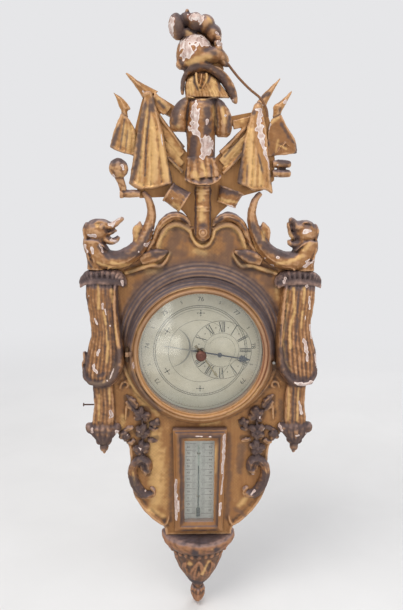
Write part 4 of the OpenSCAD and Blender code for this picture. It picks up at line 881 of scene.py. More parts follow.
def gilding(name, bright=0.5, dusty=0.5, worn=0.4, dark=0.5, hatch=0.0, dust_line=None, edges=True,
            red_from=None, rings=None, dirt_and_shade_share=1.0, between_parts_shade=0.9, hollow_shade_share=0.62, rub_and_highlight_share=0.62, bare_from=None):
    """Old gilding: gold over red bole over white gesso, with brown in the hollows and grey dust on top; with
    painted shade in the hollows, between pieces and over dark marks, and painted highlights on ridges and
    over light marks.
    """
    s, colours = Shader(name), colours_now()
    broad, middle, fine = s.noise(38, 4), s.noise(9, 4), s.noise(2.4, 3)
    streak = s.noise(6, 4, 0.6, (1.0, 1.0, 0.14))
    if edges:
        sunk, up, chip = s.attribute("sunk"), s.attribute("up"), s.attribute("chip")
        dirt_and_shade, painted_highlight, near = s.attribute("dirt_and_shade"), s.attribute("painted_highlight"), s.attribute("near")
        rear = s.attribute("rear")
    else:
        sunk, up, chip, dirt_and_shade, painted_highlight = middle * 0.6 - 0.3, broad * 0.3 - 0.2, None, 0.0, 0.0
    gold = s.mix(
        colours.gold_deep, colours.gold_light, (broad * 0.6 + streak * 0.5 + bright - 0.85).step(0.0, 0.8))
    brown = (
        sunk * 0.7 + streak * 0.42 + middle * 0.2 + broad * 0.4 + dark - 1.05 - painted_highlight * 0.5).step(0.0, 0.75)
    tone = s.mix(gold, colours.patina, brown)
    bole = ((middle * 0.42 + streak * 0.38 + fine * 0.4) - sunk * 0.5 + worn - 1.12).step(0.0, 0.28)
    if red_from is not None:
        bole = bole.max((s.x + middle * 46.0 - (s.z - DIAL_Z).size() * 0.55 - red_from).step(0.0, 30.0))
    tone = s.mix(tone, colours.bole, bole * 0.7)
    # pale gold on raised places: wear, and painted highlight on the ridges
    rub_and_highlight = (fine * 0.3 + streak * 0.45 - sunk - 0.15 + painted_highlight * 0.3).step(0.35, 0.85)
    tone = s.mix(tone, s.mix(colours.gold_light, colours.gesso, 0.16), rub_and_highlight * rub_and_highlight_share)
    if edges:
        # painted highlight in pale gold over the light marks
        tone = s.mix(tone, colours.gold_pale, painted_highlight * (middle * 0.5 + 0.45))
    dust = (up * 0.85 + broad * 0.5 + middle * 0.25 + dusty - 1.05 - painted_highlight * 0.4).step(0.0, 0.5)
    if dust_line is not None:
        low, high = dust_line
        dust = dust.max((s.z + middle * 14.0 + broad * 26.0).step(low, high) * 0.9 * (1 - painted_highlight))
    dust = dust * (0.72 + fine * 0.3)
    grey = s.mix(colours.dust, colours.patina, broad.step(0.4, 0.75) * 0.45)
    # painted highlight on raised places under dust; below, painted shade in their hollows
    grey = s.mix(grey, colours.clay, (fine * 0.3 - sunk).step(0.25, 0.95) * 0.55)
    grey = s.mix(grey, colours.hollow, (sunk + fine * 0.2).step(0.2, 0.8) * 0.4)
    tone = s.mix(tone, grey, dust)
    if rings is not None:
        height_above, reach, pitch, share = rings
        away = (s.x * s.x + (s.z - DIAL_Z - height_above) * (s.z - DIAL_Z - height_above)).root()
        upper = (s.z - DIAL_Z + broad * 60.0).step(-30.0, 70.0)
        band = (1 - (away + middle * 8.0).step(reach, reach + 14.0)) * upper
        waves = (away * (math.tau / pitch)).sine()
        # painted highlight along the turned lines; below, painted shade in the grooves between them
        line = (waves * 0.5 + 0.5).step(0.55, 1.0)
        tone = s.mix(tone, colours.dust, band * share)
        tone = s.mix(tone, s.mix(colours.gold_light, colours.dust, 0.5), line * band * (0.4 + middle * 0.5))
        groove_shade = (waves * -0.5 + 0.5).step(0.8, 1.0)
        tone = s.mix(tone, colours.hollow, groove_shade * band * 0.45)
    if edges:
        # painted shade and dirt over the dark marks
        murk = s.mix(colours.murk, colours.patina, (middle * 0.9 + fine * 0.4 - 0.3).step(0.2, 0.7) * 0.55)
        tone = s.mix(tone, murk, dirt_and_shade * (0.7 + middle * 0.36) * dirt_and_shade_share)
    # painted shade, with dirt, in the hollows; below, also where pieces meet
    hollow = (sunk + fine * 0.2).step(0.25, 0.95)
    if rings is not None:
        hollow = hollow * (1 - band * 0.7)
    if edges:
        # painted shade where the piece lies close to another
        hollow = hollow.max((near + fine * 0.25 + middle * 0.3).step(0.55, 1.3) * between_parts_shade)
    tone = s.mix(tone, colours.hollow, hollow * hollow_shade_share)
    shine = (1 - brown * 0.6) * (1 - dust) * (1 - bole * 0.7)
    if edges:
        shine = shine * (1 - dirt_and_shade * 0.8)
        bare = (chip + fine * 0.3 + middle * 0.25).step(0.72, 0.82)
        pink = (chip * 0.7 + middle * 0.7 + streak * 0.3).step(0.9, 1.3)
        scratch = (streak * 0.8 + fine * 0.5).step(0.66, 0.8)
        rim = (chip + fine * 0.3 + middle * 0.25).step(0.5, 0.7)
        tone = s.mix(tone, colours.bole, rim * 0.8)
        ground = s.mix(s.mix(colours.gesso, colours.clay, pink * 0.85), colours.patina, scratch * pink * 0.5)
        tone = s.mix(tone, ground, bare)
        shine = shine * (1 - rim.max(rear))
    if bare_from is not None:
        rear = s.y.step(bare_from, bare_from + 0.5)
        shine = shine * (1 - rear)
    if edges or bare_from is not None:
        wood = s.mix(WOOD_DARK, WOOD_LIGHT, (streak * 0.8 + broad * 0.3).step(0.3, 0.75))
        tone = s.mix(tone, wood, rear)
    height = fine * 0.35 + middle * 0.5 + s.cracks(5.5).step(0.0, 0.06) * 0.12
    if hatch:
        first = ((s.x + s.z) * (math.tau / 5.5) + middle * 5.0 + broad * 9.0).sine().step(0.6, 1.0)
        second = ((s.x - s.z) * (math.tau / 6.5) + middle * 5.0 + broad * 9.0).sine().step(0.65, 1.0)
        lines = first.max(second) * hatch * broad.step(0.42, 0.6)
        height = height - lines * 0.6
        tone = s.mix(tone, colours.hollow, lines * 0.35)
    return s.finish(
        s.principled(
            Base_Color=tone, Metallic=shine * 0.3, Roughness=0.64 - shine * 0.24 + fine * 0.1,
            Normal=s.bump(height, 0.5, 0.55), Specular_IOR_Level=0.4))


def bare_wood(name, light, dark):
    """Aged softwood, with its grain upright."""
    s = Shader(name)
    grain = s.noise(3.2, 5, 0.65, (1.0, 1.0, 0.06))
    rings = ((s.x * 0.55 + s.y * 0.3 + s.noise(60, 2, 0.5, (1.0, 1.0, 0.2)) * 26.0)).sine() * 0.5 + 0.5
    spots = s.noise(26, 4)
    tone = s.mix(dark, light, grain.step(0.3, 0.7))
    tone = s.mix(tone, tuple(c * 0.55 for c in dark), rings * 0.35)
    tone = s.mix(tone, colour_of(120, 108, 98), spots.step(0.48, 0.75) * 0.5)
    return s.finish(s.principled(Base_Color=tone, Roughness=0.72 + grain * 0.15,
                                 Normal=s.bump(grain * 0.8 + rings * 0.4, 0.4, 0.6)))


def metal(name, tone, tarnish, rough=0.35, spots=0.5, faded=None):
    """Old metal with darker stains; faded is a paler tone and the places in x where it begins and ends."""
    s = Shader(name)
    broad, fine = s.noise(11, 4), s.noise(1.3, 3, 0.6)
    stain = (broad * 0.8 + fine * 0.4 + spots - 0.95).step(0.0, 0.4)
    shade = s.mix(tone, tarnish, stain)
    if faded is not None:
        pale, start, end = faded
        shade = s.mix(shade, pale, (1 - s.x.step(end, start)) * (0.7 + fine * 0.3))
    return s.finish(
        s.principled(
            Base_Color=shade, Metallic=0.95 - stain * 0.35, Roughness=rough + stain * 0.25 + fine * 0.08,
            Normal=s.bump(fine, 0.08, 0.5)))


def clear_glass(name, film=0.05, tint=(0.97, 0.98, 0.96)):
    """Old glass: clear, with reflections that grow towards a slanting view and a thin film of dust."""
    s = Shader(name)
    cloud, specks = s.noise(34, 4), s.noise(1.6, 3)
    through_it = s.node("ShaderNodeBsdfTransparent", {}, 0, s.colour(tint))
    mirror = s.principled(
        Base_Color=s.colour((0.95, 0.96, 0.96)), Metallic=1.0, Roughness=0.03 + cloud * 0.05)
    film_look = s.principled(Base_Color=s.colour((0.72, 0.72, 0.68)), Roughness=0.8)
    slant = s.node("ShaderNodeLayerWeight", {}, 1, 0.5)
    share = slant * slant * slant * slant * slant * 0.9 + 0.055
    seen = s.node("ShaderNodeMixShader", {}, 0, share, through_it, mirror)
    dust = (cloud * 0.7 + specks * 0.5).step(0.45, 0.85) * film
    return s.finish(s.node("ShaderNodeMixShader", {}, 0, dust, seen, film_look))


def dial_silver(name):
    """Yellowed matt silvering, browner towards the rim and stained."""
    s, colours = Shader(name), colours_now()
    broad, middle, fine = s.noise(60, 4), s.noise(12, 5), s.noise(1.2, 3)
    radius = (s.x * s.x + (s.z - DIAL_Z) * (s.z - DIAL_Z)).root()
    tone = s.mix(colours.silver, colours.silver_aged, (broad + middle * 0.5 - 0.35).step(0.1, 0.7))
    rim = (radius + broad * 22.0).step(78.0, 118.0)
    tone = s.mix(tone, colour_of(200, 188, 162), rim * 0.3)
    green = (s.z - DIAL_Z) * -1.0 + radius * 0.4 + broad * 30.0
    tone = s.mix(tone, colour_of(150, 154, 144), green.step(95.0, 150.0) * 0.5)
    tone = s.mix(tone, colour_of(150, 132, 104), (middle * 0.7 + fine * 0.5).step(0.66, 0.85) * 0.3)
    return s.finish(s.principled(Base_Color=tone, Metallic=0.05, Roughness=0.5 + fine * 0.12,
                                 Normal=s.bump(fine, 0.05, 0.4)))


def ink(name, tone, fade):
    """Old black wax or ink, worn through in places."""
    s = Shader(name)
    paper = colours_now().silver_aged
    wear = (s.noise(16, 4) * 0.6 + s.noise(2.2, 3) * 0.6 + fade - 0.85).step(0.0, 0.35)
    return s.finish(s.principled(Base_Color=s.mix(tone, paper, wear * 0.75), Roughness=0.6))


def plain_dust(name, tone, other, size=1.5, rough=0.7, metallic=0.0):
    """A matt finish with a fine mottle, for thread, floor and the like."""
    s = Shader(name)
    field = s.noise(size, 4)
    return s.finish(s.principled(Base_Color=s.mix(tone, other, field.step(0.35, 0.65)), Roughness=rough,
                                 Metallic=metallic, Normal=s.bump(field, 0.05, 0.3)))


# Settings


def colour_setting(name, description, *shade):
    """A colour that can be set in the panel; its default is given as 0 to 255 in sRGB."""
    return bpy.props.FloatVectorProperty(name=name, description=description, subtype="COLOR",
                                         default=colour_of(*shade), min=0, max=1)


class BarometerColours(bpy.types.PropertyGroup):
    """Colours of the gilding and of the dial."""

    gold_light: colour_setting("Light gold", "Gold where it is bright and rubbed", 206, 156, 97)
    gold_deep: colour_setting("Deep gold", "Gold in the broad fields", 150, 104, 63)
    patina: colour_setting("Patina", "Brown layer over the gold", 99, 73, 59)
    # also the painted shade in hollows, grooves and where pieces meet
    hollow: colour_setting("Hollows", "Dirt in the deepest cuts", 56, 42, 39)
    bole: colour_setting("Red bole", "Clay ground that shows where the gold is gone", 146, 92, 70)
    gold_pale: colour_setting("Pale gold", "Gold on the lips and sheets that catch the light", 222, 180, 118)
    # also the painted shade over the dark marks
    murk: colour_setting("Dark dirt", "Grey and brown dirt in the dark passages", 70, 59, 62)
    # also the painted highlight on raised places under dust
    clay: colour_setting("Pink clay", "Stained ground inside the chips", 186, 154, 142)
    gesso: colour_setting("Gesso", "White ground in the chips", 228, 216, 208)
    dust: colour_setting("Dust", "Grey dust on surfaces that face up", 98, 87, 92)
    silver: colour_setting("Silvering", "Dial plate", 210, 200, 184)
    silver_aged: colour_setting("Aged silvering", "Stains of the dial plate", 190, 180, 161)


class BarometerSizes(bpy.types.PropertyGroup):
    """Sizes of the finish and of the marks."""

    numeral_radius: bpy.props.FloatProperty(
        name="Numeral ring", description="Middle radius of the Roman numerals", default=40 * MM,
        unit="LENGTH")
    scale_radius: bpy.props.FloatProperty(
        name="Outer scale", description="Radius of the outer scale's double line", default=77.5 * MM,
        unit="LENGTH")
    scale_marks: bpy.props.IntProperty(
        name="Scale marks", description="Marks round the outer scale", default=180, min=36, max=360)
    lamp: bpy.props.FloatProperty(
        name="Light level", description="Strength of the main lamp", default=44.0, min=1, max=200)


COLOUR_GROUP = "barometer_colours"
SIZE_GROUP = "barometer_sizes"


def colours_now():
    return getattr(bpy.context.scene, COLOUR_GROUP)


def sizes_now():
    return getattr(bpy.context.scene, SIZE_GROUP)


FINISH_MAKERS = {
    "bright_gilding": lambda name: gilding(name, bright=0.62, dusty=0.3, worn=0.32, dark=0.32),
    "brown_gilding": lambda name: gilding(name, bright=0.4, dusty=0.54, worn=0.4, dark=0.66),
    "drop_gilding": lambda name: gilding(
        name, bright=0.34, dusty=0.5, worn=0.42, dark=0.84, dust_line=(-205, -195), hollow_shade_share=0.5, rub_and_highlight_share=0.5),
    "pendant_gilding": lambda name: gilding(
        name, bright=0.14, dusty=0.5, worn=0.5, dark=1.08, dirt_and_shade_share=1.15, rub_and_highlight_share=0.24),
    "dark_gilding": lambda name: gilding(name, bright=0.25, dusty=0.62, worn=0.3, dark=0.95),
    "plume_gilding": lambda name: gilding(name, bright=0.3, dusty=0.7, worn=0.35, dark=0.9),
    "panel_gilding": lambda name: gilding(
        name, bright=0.5, dusty=0.33, worn=0.34, dark=0.4, hatch=0.5, rings=(11, 138, 6.2, 0.85), dirt_and_shade_share=0.66),
    "board_gilding": lambda name: gilding(
        name, bright=0.6, dusty=0.35, worn=0.3, dark=0.4, edges=False,
        bare_from=1000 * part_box("trophy_board")[1].y - 1.2),
    "drum_gilding": lambda name: gilding(
        name, bright=0.4, dusty=0.6, worn=0.35, dark=0.6, rings=(0, 140, 4.4, 0.9), between_parts_shade=0.5),
    "bezel_gilding": lambda name: gilding(
        name, bright=0.66, dusty=0.1, worn=0.45, dark=0.36, red_from=78, rings=(0, 119, 3.3, 0.2)),
    "frame_gilding": lambda name: gilding(name, bright=0.45, dusty=0.4, worn=0.42, dark=0.6),
    "case_wood": lambda name: bare_wood(name, colour_of(150, 112, 74), colour_of(104, 74, 48)),
    "door_wood": lambda name: bare_wood(name, colour_of(138, 100, 64), colour_of(92, 64, 42)),
    "glass": clear_glass,
    "tube_glass": lambda name: clear_glass(name, 0.03, (0.93, 0.97, 0.95)),
    "brass": lambda name: metal(name, colour_of(150, 118, 72), colour_of(84, 64, 46), 0.45, 0.62),
    # the set hand's pale tone is partly a painted reflection
    "pale_brass": lambda name: metal(name, colour_of(150, 136, 104), colour_of(96, 84, 66), 0.3, 0.35),
    "worn_hand": lambda name: metal(
        name, colour_of(74, 78, 90), colour_of(56, 54, 56), 0.35, 0.4,
        faded=(colour_of(158, 152, 140), -4.0, -26.0)),
    "dull_brass": lambda name: metal(name, colour_of(98, 76, 56), colour_of(66, 52, 44), 0.6, 0.5),
    "dull_steel": lambda name: metal(name, colour_of(150, 147, 142), colour_of(96, 84, 74), 0.4),
    "iron": lambda name: metal(name, colour_of(84, 78, 74), colour_of(92, 58, 40), 0.6, 0.6),
    "knob": lambda name: metal(name, colour_of(122, 84, 74), colour_of(76, 52, 46), 0.5, 0.5),
    "mercury": lambda name: metal(name, colour_of(206, 208, 212), colour_of(160, 164, 170), 0.08, 0.2),
    "thermometer_mercury": lambda name: metal(name, colour_of(72, 76, 88), colour_of(52, 54, 62), 0.2, 0.3),
    "dial_silver": dial_silver,
    "scale_silver": lambda name: plain_dust(
        name, colour_of(184, 182, 180), colour_of(171, 169, 167), 9, 0.5, 0.05),
    "dial_ink": lambda name: ink(name, colour_of(46, 42, 38), 0.2),
    "faint_ink": lambda name: ink(name, colour_of(80, 76, 68), 0.4),
    "silk": lambda name: plain_dust(name, colour_of(222, 212, 178), colour_of(190, 178, 142), 0.6),
}
FINISHES = {}


def finish_of(name):
    """The named finish, made when it is first asked for."""
    if name not in FINISHES:
        FINISHES[name] = FINISH_MAKERS[name](name)
    return FINISHES[name]


# Geometry Nodes for what repeats


RING_INPUTS = {"Unit": "NodeSocketObject", "Count": "NodeSocketInt", "Radius": "NodeSocketFloat",
               "Centre": "NodeSocketVector", "Finish": "NodeSocketMaterial"}
ROW_INPUTS = {"Unit": "NodeSocketObject", "Count": "NodeSocketInt", "Start": "NodeSocketVector",
              "Step": "NodeSocketVector", "Finish": "NodeSocketMaterial"}


def ring_of_units(add, given, unit):
    """Units round a circle that faces forward, each turned outwards."""
    circle = add("GeometryNodeMeshCircle", Vertices=given["Count"], Radius=given["Radius"])
    spin = add("GeometryNodeTransform", Geometry=circle.outputs[0])
    spin.inputs["Rotation"].default_value = (math.pi / 2, 0, 0)
    aim = add("FunctionNodeAlignRotationToVector", Vector=add("GeometryNodeInputPosition").outputs[0])
    aim.axis = "Z"
    aim.pivot_axis = "Y"
    copies = add(
        "GeometryNodeInstanceOnPoints", Points=spin.outputs[0], Instance=unit, Rotation=aim.outputs[0])
    return add("GeometryNodeTransform", Geometry=copies.outputs[0], Translation=given["Centre"])


def row_of_units(add, given, unit):
    """Units along a straight line."""
    line = add(
        "GeometryNodeMeshLine", Count=given["Count"], Start_Location=given["Start"], Offset=given["Step"])
    return add("GeometryNodeInstanceOnPoints", Points=line.outputs[0], Instance=unit)


def units_tree(name, sockets, arranged):
    """A node tree that sets out copies of a small unit, makes them real and gives them their finish."""
    tree = bpy.data.node_groups.new(name, "GeometryNodeTree")
    tree.interface.new_socket("Geometry", in_out="OUTPUT", socket_type="NodeSocketGeometry")
    for label, kind in sockets.items():
        tree.interface.new_socket(label, in_out="INPUT", socket_type=kind)

    def add(kind, **sources):
        made = tree.nodes.new(kind)
        for key, source in sources.items():
            tree.links.new(source, made.inputs[key.replace("_", " ")])
        return made

    given = add("NodeGroupInput").outputs
    unit = add("GeometryNodeObjectInfo", Object=given["Unit"])
    copies = arranged(add, given, unit.outputs["Geometry"])
    real = add("GeometryNodeRealizeInstances", Geometry=copies.outputs[0])
    paint = add("GeometryNodeSetMaterial", Geometry=real.outputs[0], Material=given["Finish"])
    add("NodeGroupOutput", Geometry=paint.outputs[0])
    return tree


UNIT_TREES = {"RingOfUnits": (RING_INPUTS, ring_of_units), "RowOfUnits": (ROW_INPUTS, row_of_units)}


def repeated(name, tree_name, shells, finish, **inputs):
    """A plain mesh of repeated units with their finish, made by a node tree with named inputs."""
    tree = bpy.data.node_groups.get(tree_name) or units_tree(tree_name, *UNIT_TREES[tree_name])
    unit = object_of(name + "_unit", mesh_of(name + "_unit", shells))
    made = object_of(name, bpy.data.meshes.new(name))
    modifier = made.modifiers.new("Repeat", "NODES")
    modifier.node_group = tree
    named = {item.name: item.identifier for item in tree.interface.items_tree if item.in_out == "INPUT"}
    for key, value in {"Unit": unit, "Finish": finish_of(finish), **inputs}.items():
        modifier[named[key]] = value
    settled(made)
    bpy.data.objects.remove(unit)
    return carried(made, finish, "case")


def slab(x0, x1, z0, z1, back, front):
    """A plain block for marks and print."""
    ring = lambda z: [[x0, back, z], [x1, back, z], [x1, front, z], [x0, front, z]]
    return skin([ring(z0), ring(z1)])


# Pieces of the trophy


def make_helmet():
    """Crown, visor and turned-up brim."""
    crown = ball(-13, 142, FACE, 29, 30.5, 32, seat=FACE, sides=44)
    visor = [(-37, 123, 5, 15), (-30, 127, 8, 23), (-14, 132, 10, 29), (4, 138, 12, 31), (20, 141, 11.5, 28),
             (31, 137, 8, 19), (37, 130, 4, 10)]
    brim = [
        (50, 73, 4, 15), (46.5, 84, 6.5, 19), (40, 96, 7.5, 23), (31, 108, 7.5, 26), (18, 117, 6.5, 29),
        (3, 121.5, 5.5, 31), (-12, 120.5, 5, 30), (-24, 115, 4.5, 26), (-30.5, 104, 3.6, 21),
        (-32, 92, 3.2, 18), (-32, 82, 2.2, 14)]
    lipped = lambda u, t: 0.3 + 0.5 * bulge(u) + 0.2 * groove_at(u, 0.84, 0.09)
    shells = [
        crown, ribbon(visor, count=44, sides=20), ribbon(brim, count=64, sides=22, shape=lipped, even=True),
        ribbon([(46, 76, 3, 15), (52, 72, 2.4, 13), (50, 80, 2.5, 14)], count=10, sides=8),
        ribbon([(-38, 133, 1.6, 14), (-39, 126, 3, 16), (-34, 121, 3, 18)], count=10, sides=8)]
    carving("helmet", shells, "brown_gilding", ["helmet_shell"], smooth=3)


def make_plume():
    """The plume's round locks."""
    lobes = [
        (-41, 181, 12.5, 19.5, 30, 8), (-13.5, 187, 13, 14, 33, 0), (-26, 191, 11, 10.5, 24, 0),
        (3, 185, 15, 14, 27, 35), (15, 172, 12.5, 15, 27, 30), (21, 163, 6, 6, 30, 0),
        (22, 148, 8, 8.5, 28, 0), (27, 137, 6.5, 7, 22, 20)]
    shells = [ball(x, z, FACE, wide, tall, deep, turn, FACE, 28) for x, z, wide, tall, deep, turn in lobes]
    shells += [ribbon([(27, 134, 5, 15), (35, 127.5, 3.8, 12), (42, 126, 1.2, 6)], count=14, sides=10),
               ribbon([(-30, 174, 8, 17), (-22, 168, 7, 19), (-12, 166, 6, 16)], count=14, sides=10),
               ribbon([(16, 155, 4, 27), (22, 155.5, 3, 30), (28, 154, 2, 24)], count=12, sides=8),
               ball(-25, 201.5, FACE + 14, 3.5, 3.2, 4)]
    carving("plume", shells, "plume_gilding", ["helmet_plume"], smooth=3)


def make_lining():
    """The hair that hangs below the brim."""
    rows = [
        (78.5, -27.5, 42, 17), (88, -28, 36, 18), (98, -28, 27.5, 18), (106, -24, 20, 17),
        (112, -14, 10, 15), (115, -7, 3, 12)]
    hair = folds(np.linspace(0, 1, 14) + 0.014 * np.sin(np.arange(14) * 2.4), 0.2, 0.35, 0.6)
    shells = [
        level(rows, count=40, sides=130, shape=hair),
        ribbon(
            [(-11, 113, 3, 22), (-11, 104, 3.4, 24), (-9, 95, 3, 23), (-5.5, 86, 1.2, 18)], count=24, sides=8
        ),
        ribbon([(4, 113, 3, 22), (5, 105, 3.4, 24), (1, 95, 3, 23), (-4.5, 87, 1.2, 18)], count=24, sides=8),
        ribbon([(-3, 112, 2.2, 21), (-4, 102, 2.6, 22), (-5, 93, 1.6, 20)], count=20, sides=8)]
    carving("helmet_hair", shells, "bright_gilding", ["helmet_lining"], voxel=1.0)


def make_cuirass():
    """Torso, two shoulder pieces, skirt and its wavy hem."""
    torso = [(-16, -25, 20.5, 24), (-4, -24.5, 19, 25), (10, -24.5, 18.5, 27), (30, -26, 20, 31),
             (50, -27, 21, 33.5), (66, -26, 20.5, 31), (75, -24, 20, 25)]
    left = [
        (27, -46, -27, 13), (33, -51, -25, 23), (46, -52, -24, 29), (60, -48, -22, 29), (70, -41, -20, 25),
        (77, -33, -18, 17)]
    right = [(19.5, 24, 39, 12), (28, 19, 45.5, 23), (44, 18, 46, 29), (58, 17, 42, 29), (69, 16, 35, 25),
             (76, 14, 28, 17)]
    skirt = [[-28.5, -46, 29, -40, 27], [-27.5, -38, 27, -34, 27.5], [-25.5, -24, 23, -22, 26],
             [-25, -12, 20.5, -12, 24.5]]
    hem = [(-28, -43, 4, 25), (-16, -44, 8, 28), (-3, -45, 9.5, 29), (12, -44, 9.5, 29), (22, -41, 7, 27),
           (29, -38, 3, 24)]
    wavy = lambda u, t: (0.55 + 0.45 * u) * (1 - 0.06 * np.cos(math.tau * 5 * t))
    shells = [
        level(torso, count=44, sides=34), level(left, count=30, sides=28, shape=dome(0.5, 0.2)),
        level(right, count=30, sides=40, shape=folds([0, 0.26, 0.62, 1], 0.14, 0.2, 0.5, 0.5)),
        sheet(skirt, FACE, 40, 90, folds([0, 0.13, 0.36, 0.6, 0.8, 1], 0.12, 0.55, 0.6)),
        ribbon(hem, count=60, sides=20, shape=wavy),
        ribbon(
            [
                (-33, 75, 1.4, 19), (-22, 77, 1.6, 26), (-8, 74, 1.4, 28), (4, 74, 1.4, 28),
                (18, 76.5, 1.6, 26), (29, 73, 1.4, 20)],
            count=40, sides=8)]
    carving("cuirass_and_skirt", shells, "brown_gilding", ["cuirass"], voxel=1.1, smooth=3)


def make_cannon():
    """The barrel below the skirt, with its rings and end knob."""
    mid, foot = 1.5, -129
    r = 14.3
    rows = [
        (
            foot - r * math.sin(math.radians(a)), mid - r * math.cos(math.radians(a)),
            mid + r * math.cos(math.radians(a)), 12 + 7 * math.cos(math.radians(a)))
        for a in (84, 64, 44, 24, 4)]
    for z, narrow, high in (
        (-126, 0, 19), (-120, 0.8, 18), (-97, 1.3, 18), (-95, -0.2, 19.5), (-92, 0.9, 18.5),
        (-89, -0.2, 19.5), (-86, 1.3, 18), (-71, 1.6, 17.5), (-68.5, 0.1, 19.2), (-65, 1, 18.3),
        (-62, 0.1, 19.2), (-59, 1.8, 17), (-54.3, 2, 16)
    ):
        rows.append((z, mid - r + narrow, mid + r - narrow, high))
    shells = [
        level(rows, count=90, sides=28, even=False),
        lathe(
            [
                (MIDDLE_R, FACE + 14), (7.2, FACE + 15), (7.4, FACE + 18.5), (5.6, FACE + 20),
                (4.6, FACE + 18.8), (3.2, FACE + 19), (2.4, FACE + 20.6), (MIDDLE_R, FACE + 21)],
            mid, foot, 32)]
    carving("cannon", shells, "brown_gilding", ["cannon_barrel"], voxel=1.1)


def make_banners():
    """The two hanging banners and the two far ones."""
    shells = [
        sheet(
            [
                [-91, -58, -46.5, -50.5, 15], [-88.5, -20, -53.5, -20, 15], [-86.5, 20, -60.5, 20, 14],
                [-87, 58, -70.5, 58, 11], [-88, 85, -79, 85, 7]],
            CLOTH_SEAT, 60, 80, folds([-0.05, 0.1, 0.2, 0.62, 1], 0.4, 0.5, 0.6)),
        sheet(
            [
                [-115.5, -51, -90.5, -58, 12], [-110, -20, -88.5, -20, 13.5], [-103, 20, -87, 20, 13.5],
                [-95, 58, -86.5, 58, 11], [-90, 80, -86, 80, 8]],
            CLOTH_SEAT, 60, 40, folds([0, 0.34, 0.6, 1], 0.5, 0.45, 0.6)),
        ribbon([(-115, -50, 4, 11), (-104, -55, 5.5, 14), (-93, -60, 4, 12)], CLOTH_SEAT, 20, 10),
        ribbon(
            [(-92, -59, 2.4, 15), (-78, -58, 3, 15), (-62, -54, 3, 15), (-48, -51, 2, 14)], CLOTH_SEAT, 24,
            10),
        ball(-86, 82, CLOTH_SEAT, 8, 5, 11, 10, CLOTH_SEAT, 18)]
    carving("banner_left", shells, "bright_gilding", ["banner_left_inner"], smooth=6)
    shells = [
        sheet(
            [
                [55, -50, 92.5, -58.5, 15], [59.5, -20, 92, -20, 15], [66, 20, 89, 20, 14],
                [74, 50, 87.5, 50, 11], [80, 70, 87, 70, 6]],
            CLOTH_SEAT, 60, 70, folds([-0.05, 0.16, 0.6, 0.84, 1.04], 0.4, 0.5, 0.6)),
        sheet(
            [
                [91, -58, 113, -65.5, 11], [90.5, -20, 106.5, -24, 12], [88, 20, 101, 20, 12],
                [86, 52, 95, 52, 10], [84, 70, 91, 70, 6]],
            CLOTH_SEAT, 60, 34, folds([0, 0.55, 1], 0.4, 0.5, 0.6)),
        ribbon(
            [
                (56, -50, 2, 14), (68, -53, 2.6, 15), (80, -59.5, 2.6, 15), (92, -59, 2, 14),
                (103, -59, 2.2, 12), (112, -66, 1.8, 11)],
            CLOTH_SEAT, 30, 8),
        ball(86, 64, CLOTH_SEAT, 8, 9, 10, -15, CLOTH_SEAT, 18)]
    carving("banner_right", shells, "bright_gilding", ["banner_right_inner"], smooth=6)
    far = [
        [-145.5, 4.5, -103, -9.5, 7], [-139, 28, -103, 14, 7], [-132, 44, -107, 34, 6.5],
        [-126.5, 55, -118, 49, 5.5]]
    zigzag = ribbon(
        [(-145, 4, 1.8, 7), (-133, -2, 2, 8), (-118, -6.5, 2, 8), (-104, -10, 1.8, 7)], count=24, sides=8)
    carving(
        "banner_far_left", [sheet(far, FACE, 40, 56, folds([0, 0.3, 0.5, 0.8, 1], 0.45, 0.5, 0.6)), zigzag],
        "bright_gilding", ["banner_left_outer"], voxel=1.1, smooth=6)
    far = [
        [103, -9, 150.5, -3.5, 7], [103, 12, 147, 16, 7], [104, 34, 132.5, 38, 6.5], [110, 50, 123, 56, 5.5]]
    slant = lambda u, t: 0.55 + 0.3 * u + 0.14 * groove_at(u, 0.96, 0.06) + 0.06 * np.sin(5 * (u + t))
    rays = [
        ribbon([(119 + 6 * k, -5 + 4 * k, 1.2, 7.4), (131, 14, 0.8, 8)], count=8, sides=6)
        for k in (-1, 1, 3)]
    carving("banner_far_right", [sheet(far, FACE, 40, 50, slant)] + rays, "brown_gilding",
            ["banner_right_outer"], voxel=1.1)


